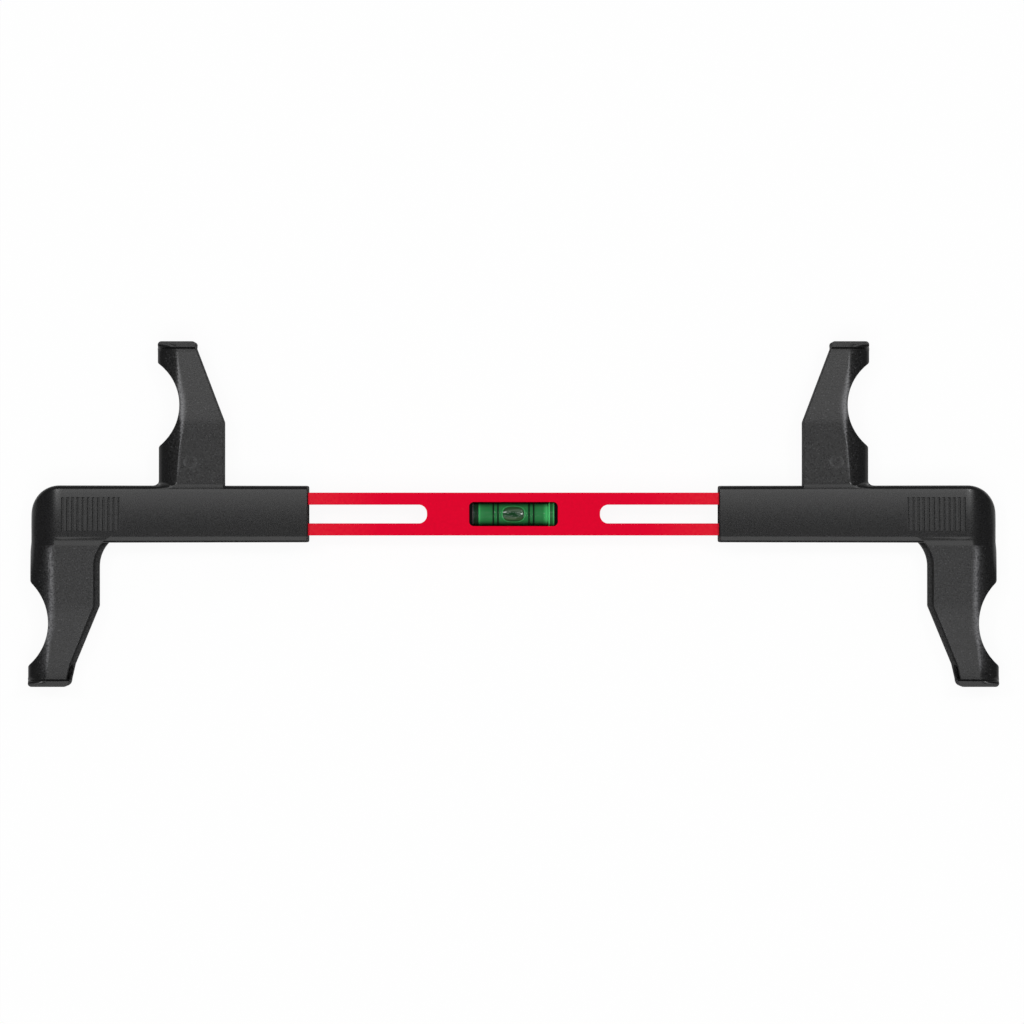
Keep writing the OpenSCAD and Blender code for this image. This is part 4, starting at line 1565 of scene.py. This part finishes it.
class LEVEL_OT_inner_parts(bpy.types.Operator):
    """Finish the vial's bed, the studs and the bushes, which keep their CAD shape"""

    bl_idname = "level.inner_parts"
    bl_label = "Inner parts"

    def execute(self, context):
        tones = context.scene.level_colours
        dress("vial_carrier", dull_finish("bed_plastic", tones.plastic, (0.45, 0.6)))
        brass = metal_finish("turned_brass", tones.brass, (0.2, 0.35), (8, 1, 1))
        steel = metal_finish("ground_steel", tones.steel, (0.2, 0.35), (1, 1, 8))
        for side in SIDES:
            dress(f"{side}_spigot", brass)
            dress(f"{side}_stop_bush", steel)
        return {"FINISHED"}


class LEVEL_OT_stage(bpy.types.Operator):
    """Set the floor, the lights and the camera"""

    bl_idname = "level.stage"
    bl_label = "Stage"

    FLOOR_SIZE = 40
    FLOOR_LEVEL = -0.0001
    FLOOR_GLOW = 0.93
    WORLD_LIGHT = 0.25
    # Name, place, size and power of each lamp.
    LAMPS = (
        ("upper_light", (0, 0.475, 1.9), (1.8, 0.55), 13),
        ("lower_light", (0, -0.6, 1.85), (1.8, 0.8), 14.5),
        ("left_light", (-0.68, 0.45, 1.8), (0.12, 0.12), 3.2),
        ("right_light", (0.68, 0.45, 1.8), (0.12, 0.12), 3.2),
    )
    CAMERA_HEIGHT = 2.1
    CAMERA_LENS = 197.2
    CAMERA_SENSOR = 36
    CAMERA_PLACE = (-0.00056, 0.00077)

    def execute(self, context):
        scene = context.scene
        scene.view_settings.view_transform = "Standard"
        bpy.ops.object.select_all(action="DESELECT")
        bpy.ops.mesh.primitive_plane_add(size=self.FLOOR_SIZE, location=(0, 0, self.FLOOR_LEVEL))
        floor = named("floor")
        floor.data.materials.append(self.floor_finish())
        for lamp in self.LAMPS:
            self.light(*lamp)
        self.world(scene)
        place = (*self.CAMERA_PLACE, PARTING * MILLIMETRE + self.CAMERA_HEIGHT)
        bpy.ops.object.camera_add(location=place, rotation=(0, 0, 0))
        camera = bpy.context.object
        camera.name = "camera"
        camera.data.lens = self.CAMERA_LENS
        camera.data.sensor_width = self.CAMERA_SENSOR
        scene.camera = camera
        return {"FINISHED"}

    @staticmethod
    def light(name, place, size, power):
        """A soft rectangular lamp that looks at the middle of the object."""
        turn = Vector(place).to_track_quat("Z", "Y").to_euler()
        bpy.ops.object.light_add(type="AREA", location=place, rotation=turn)
        lamp = bpy.context.object
        lamp.name = name
        lamp.data.shape = "RECTANGLE"
        lamp.data.size, lamp.data.size_y = size
        lamp.data.energy = power

    def world(self, scene):
        """Even dim light from all round."""
        scene.world = bpy.data.worlds.new("studio")
        scene.world.use_nodes = True
        background = scene.world.node_tree.nodes["Background"]
        background.inputs["Color"].default_value = (1, 1, 1, 1)
        background.inputs["Strength"].default_value = self.WORLD_LIGHT

    def floor_finish(self):
        """White floor that stays white to the camera and in reflections, and keeps a faint shadow."""
        material, tree, shader = new_finish("white_floor")
        noise = add_noise(tree, 20)
        tree.links.new(add_ramp(tree, noise, [(0, 0.9), (1, 0.92)]), shader.inputs["Base Color"])
        shader.inputs["Roughness"].default_value = 0.9
        glow = tree.nodes.new("ShaderNodeEmission")
        glow.inputs["Strength"].default_value = 1
        path = tree.nodes.new("ShaderNodeLightPath")
        seen = path.outputs["Is Camera Ray"]
        for kind in ("Is Glossy Ray", "Is Transmission Ray"):
            seen = add_math(tree, "MAXIMUM", seen, path.outputs[kind])
        share = add_math(tree, "MULTIPLY", seen, self.FLOOR_GLOW)
        mix = tree.nodes.new("ShaderNodeMixShader")
        tree.links.new(share, mix.inputs["Fac"])
        tree.links.new(shader.outputs["BSDF"], mix.inputs[1])
        tree.links.new(glow.outputs["Emission"], mix.inputs[2])
        tree.links.new(mix.outputs["Shader"], tree.nodes["Material Output"].inputs["Surface"])
        return material


class LEVEL_PT_sidebar(bpy.types.Panel):
    """Lists the pieces of the level"""

    bl_idname = "LEVEL_PT_sidebar"
    bl_label = "Wheel level"
    bl_space_type = "VIEW_3D"
    bl_region_type = "UI"
    bl_category = "Wheel level"

    def draw(self, context):
        for operator in OPERATORS:
            self.layout.operator(operator.bl_idname)
        for key in GROUPS:
            group = getattr(context.scene, key)
            box = self.layout.box()
            box.label(text=type(group).__doc__)
            for name in type(group).__annotations__:
                box.prop(group, name)


GROUPS = {
    "level_sleeve": LevelSleeveSizes,
    "level_fingers": LevelFingerSizes,
    "level_grip": LevelGripSizes,
    "level_bar": LevelBarSizes,
    "level_vial": LevelVialSizes,
    "level_screws": LevelScrewSizes,
    "level_colours": LevelColours,
}
OPERATORS = (
    LEVEL_OT_stage,
    LEVEL_OT_bar,
    LEVEL_OT_arm_covers,
    LEVEL_OT_vial,
    LEVEL_OT_screws,
    LEVEL_OT_springs,
    LEVEL_OT_inner_parts,
)


def register():
    for one in (*GROUPS.values(), *OPERATORS, LEVEL_PT_sidebar):
        bpy.utils.register_class(one)
    for key, group in GROUPS.items():
        setattr(bpy.types.Scene, key, PointerProperty(type=group))


def unregister():
    for key in GROUPS:
        delattr(bpy.types.Scene, key)
    for one in reversed((*GROUPS.values(), *OPERATORS, LEVEL_PT_sidebar)):
        bpy.utils.unregister_class(one)


def main():
    register()
    bpy.ops.level.stage()
    bpy.ops.level.bar()
    bpy.ops.level.arm_covers()
    bpy.ops.level.vial()
    bpy.ops.level.screws()
    bpy.ops.level.springs()
    bpy.ops.level.inner_parts()


if __name__ == "__main__":
    main()
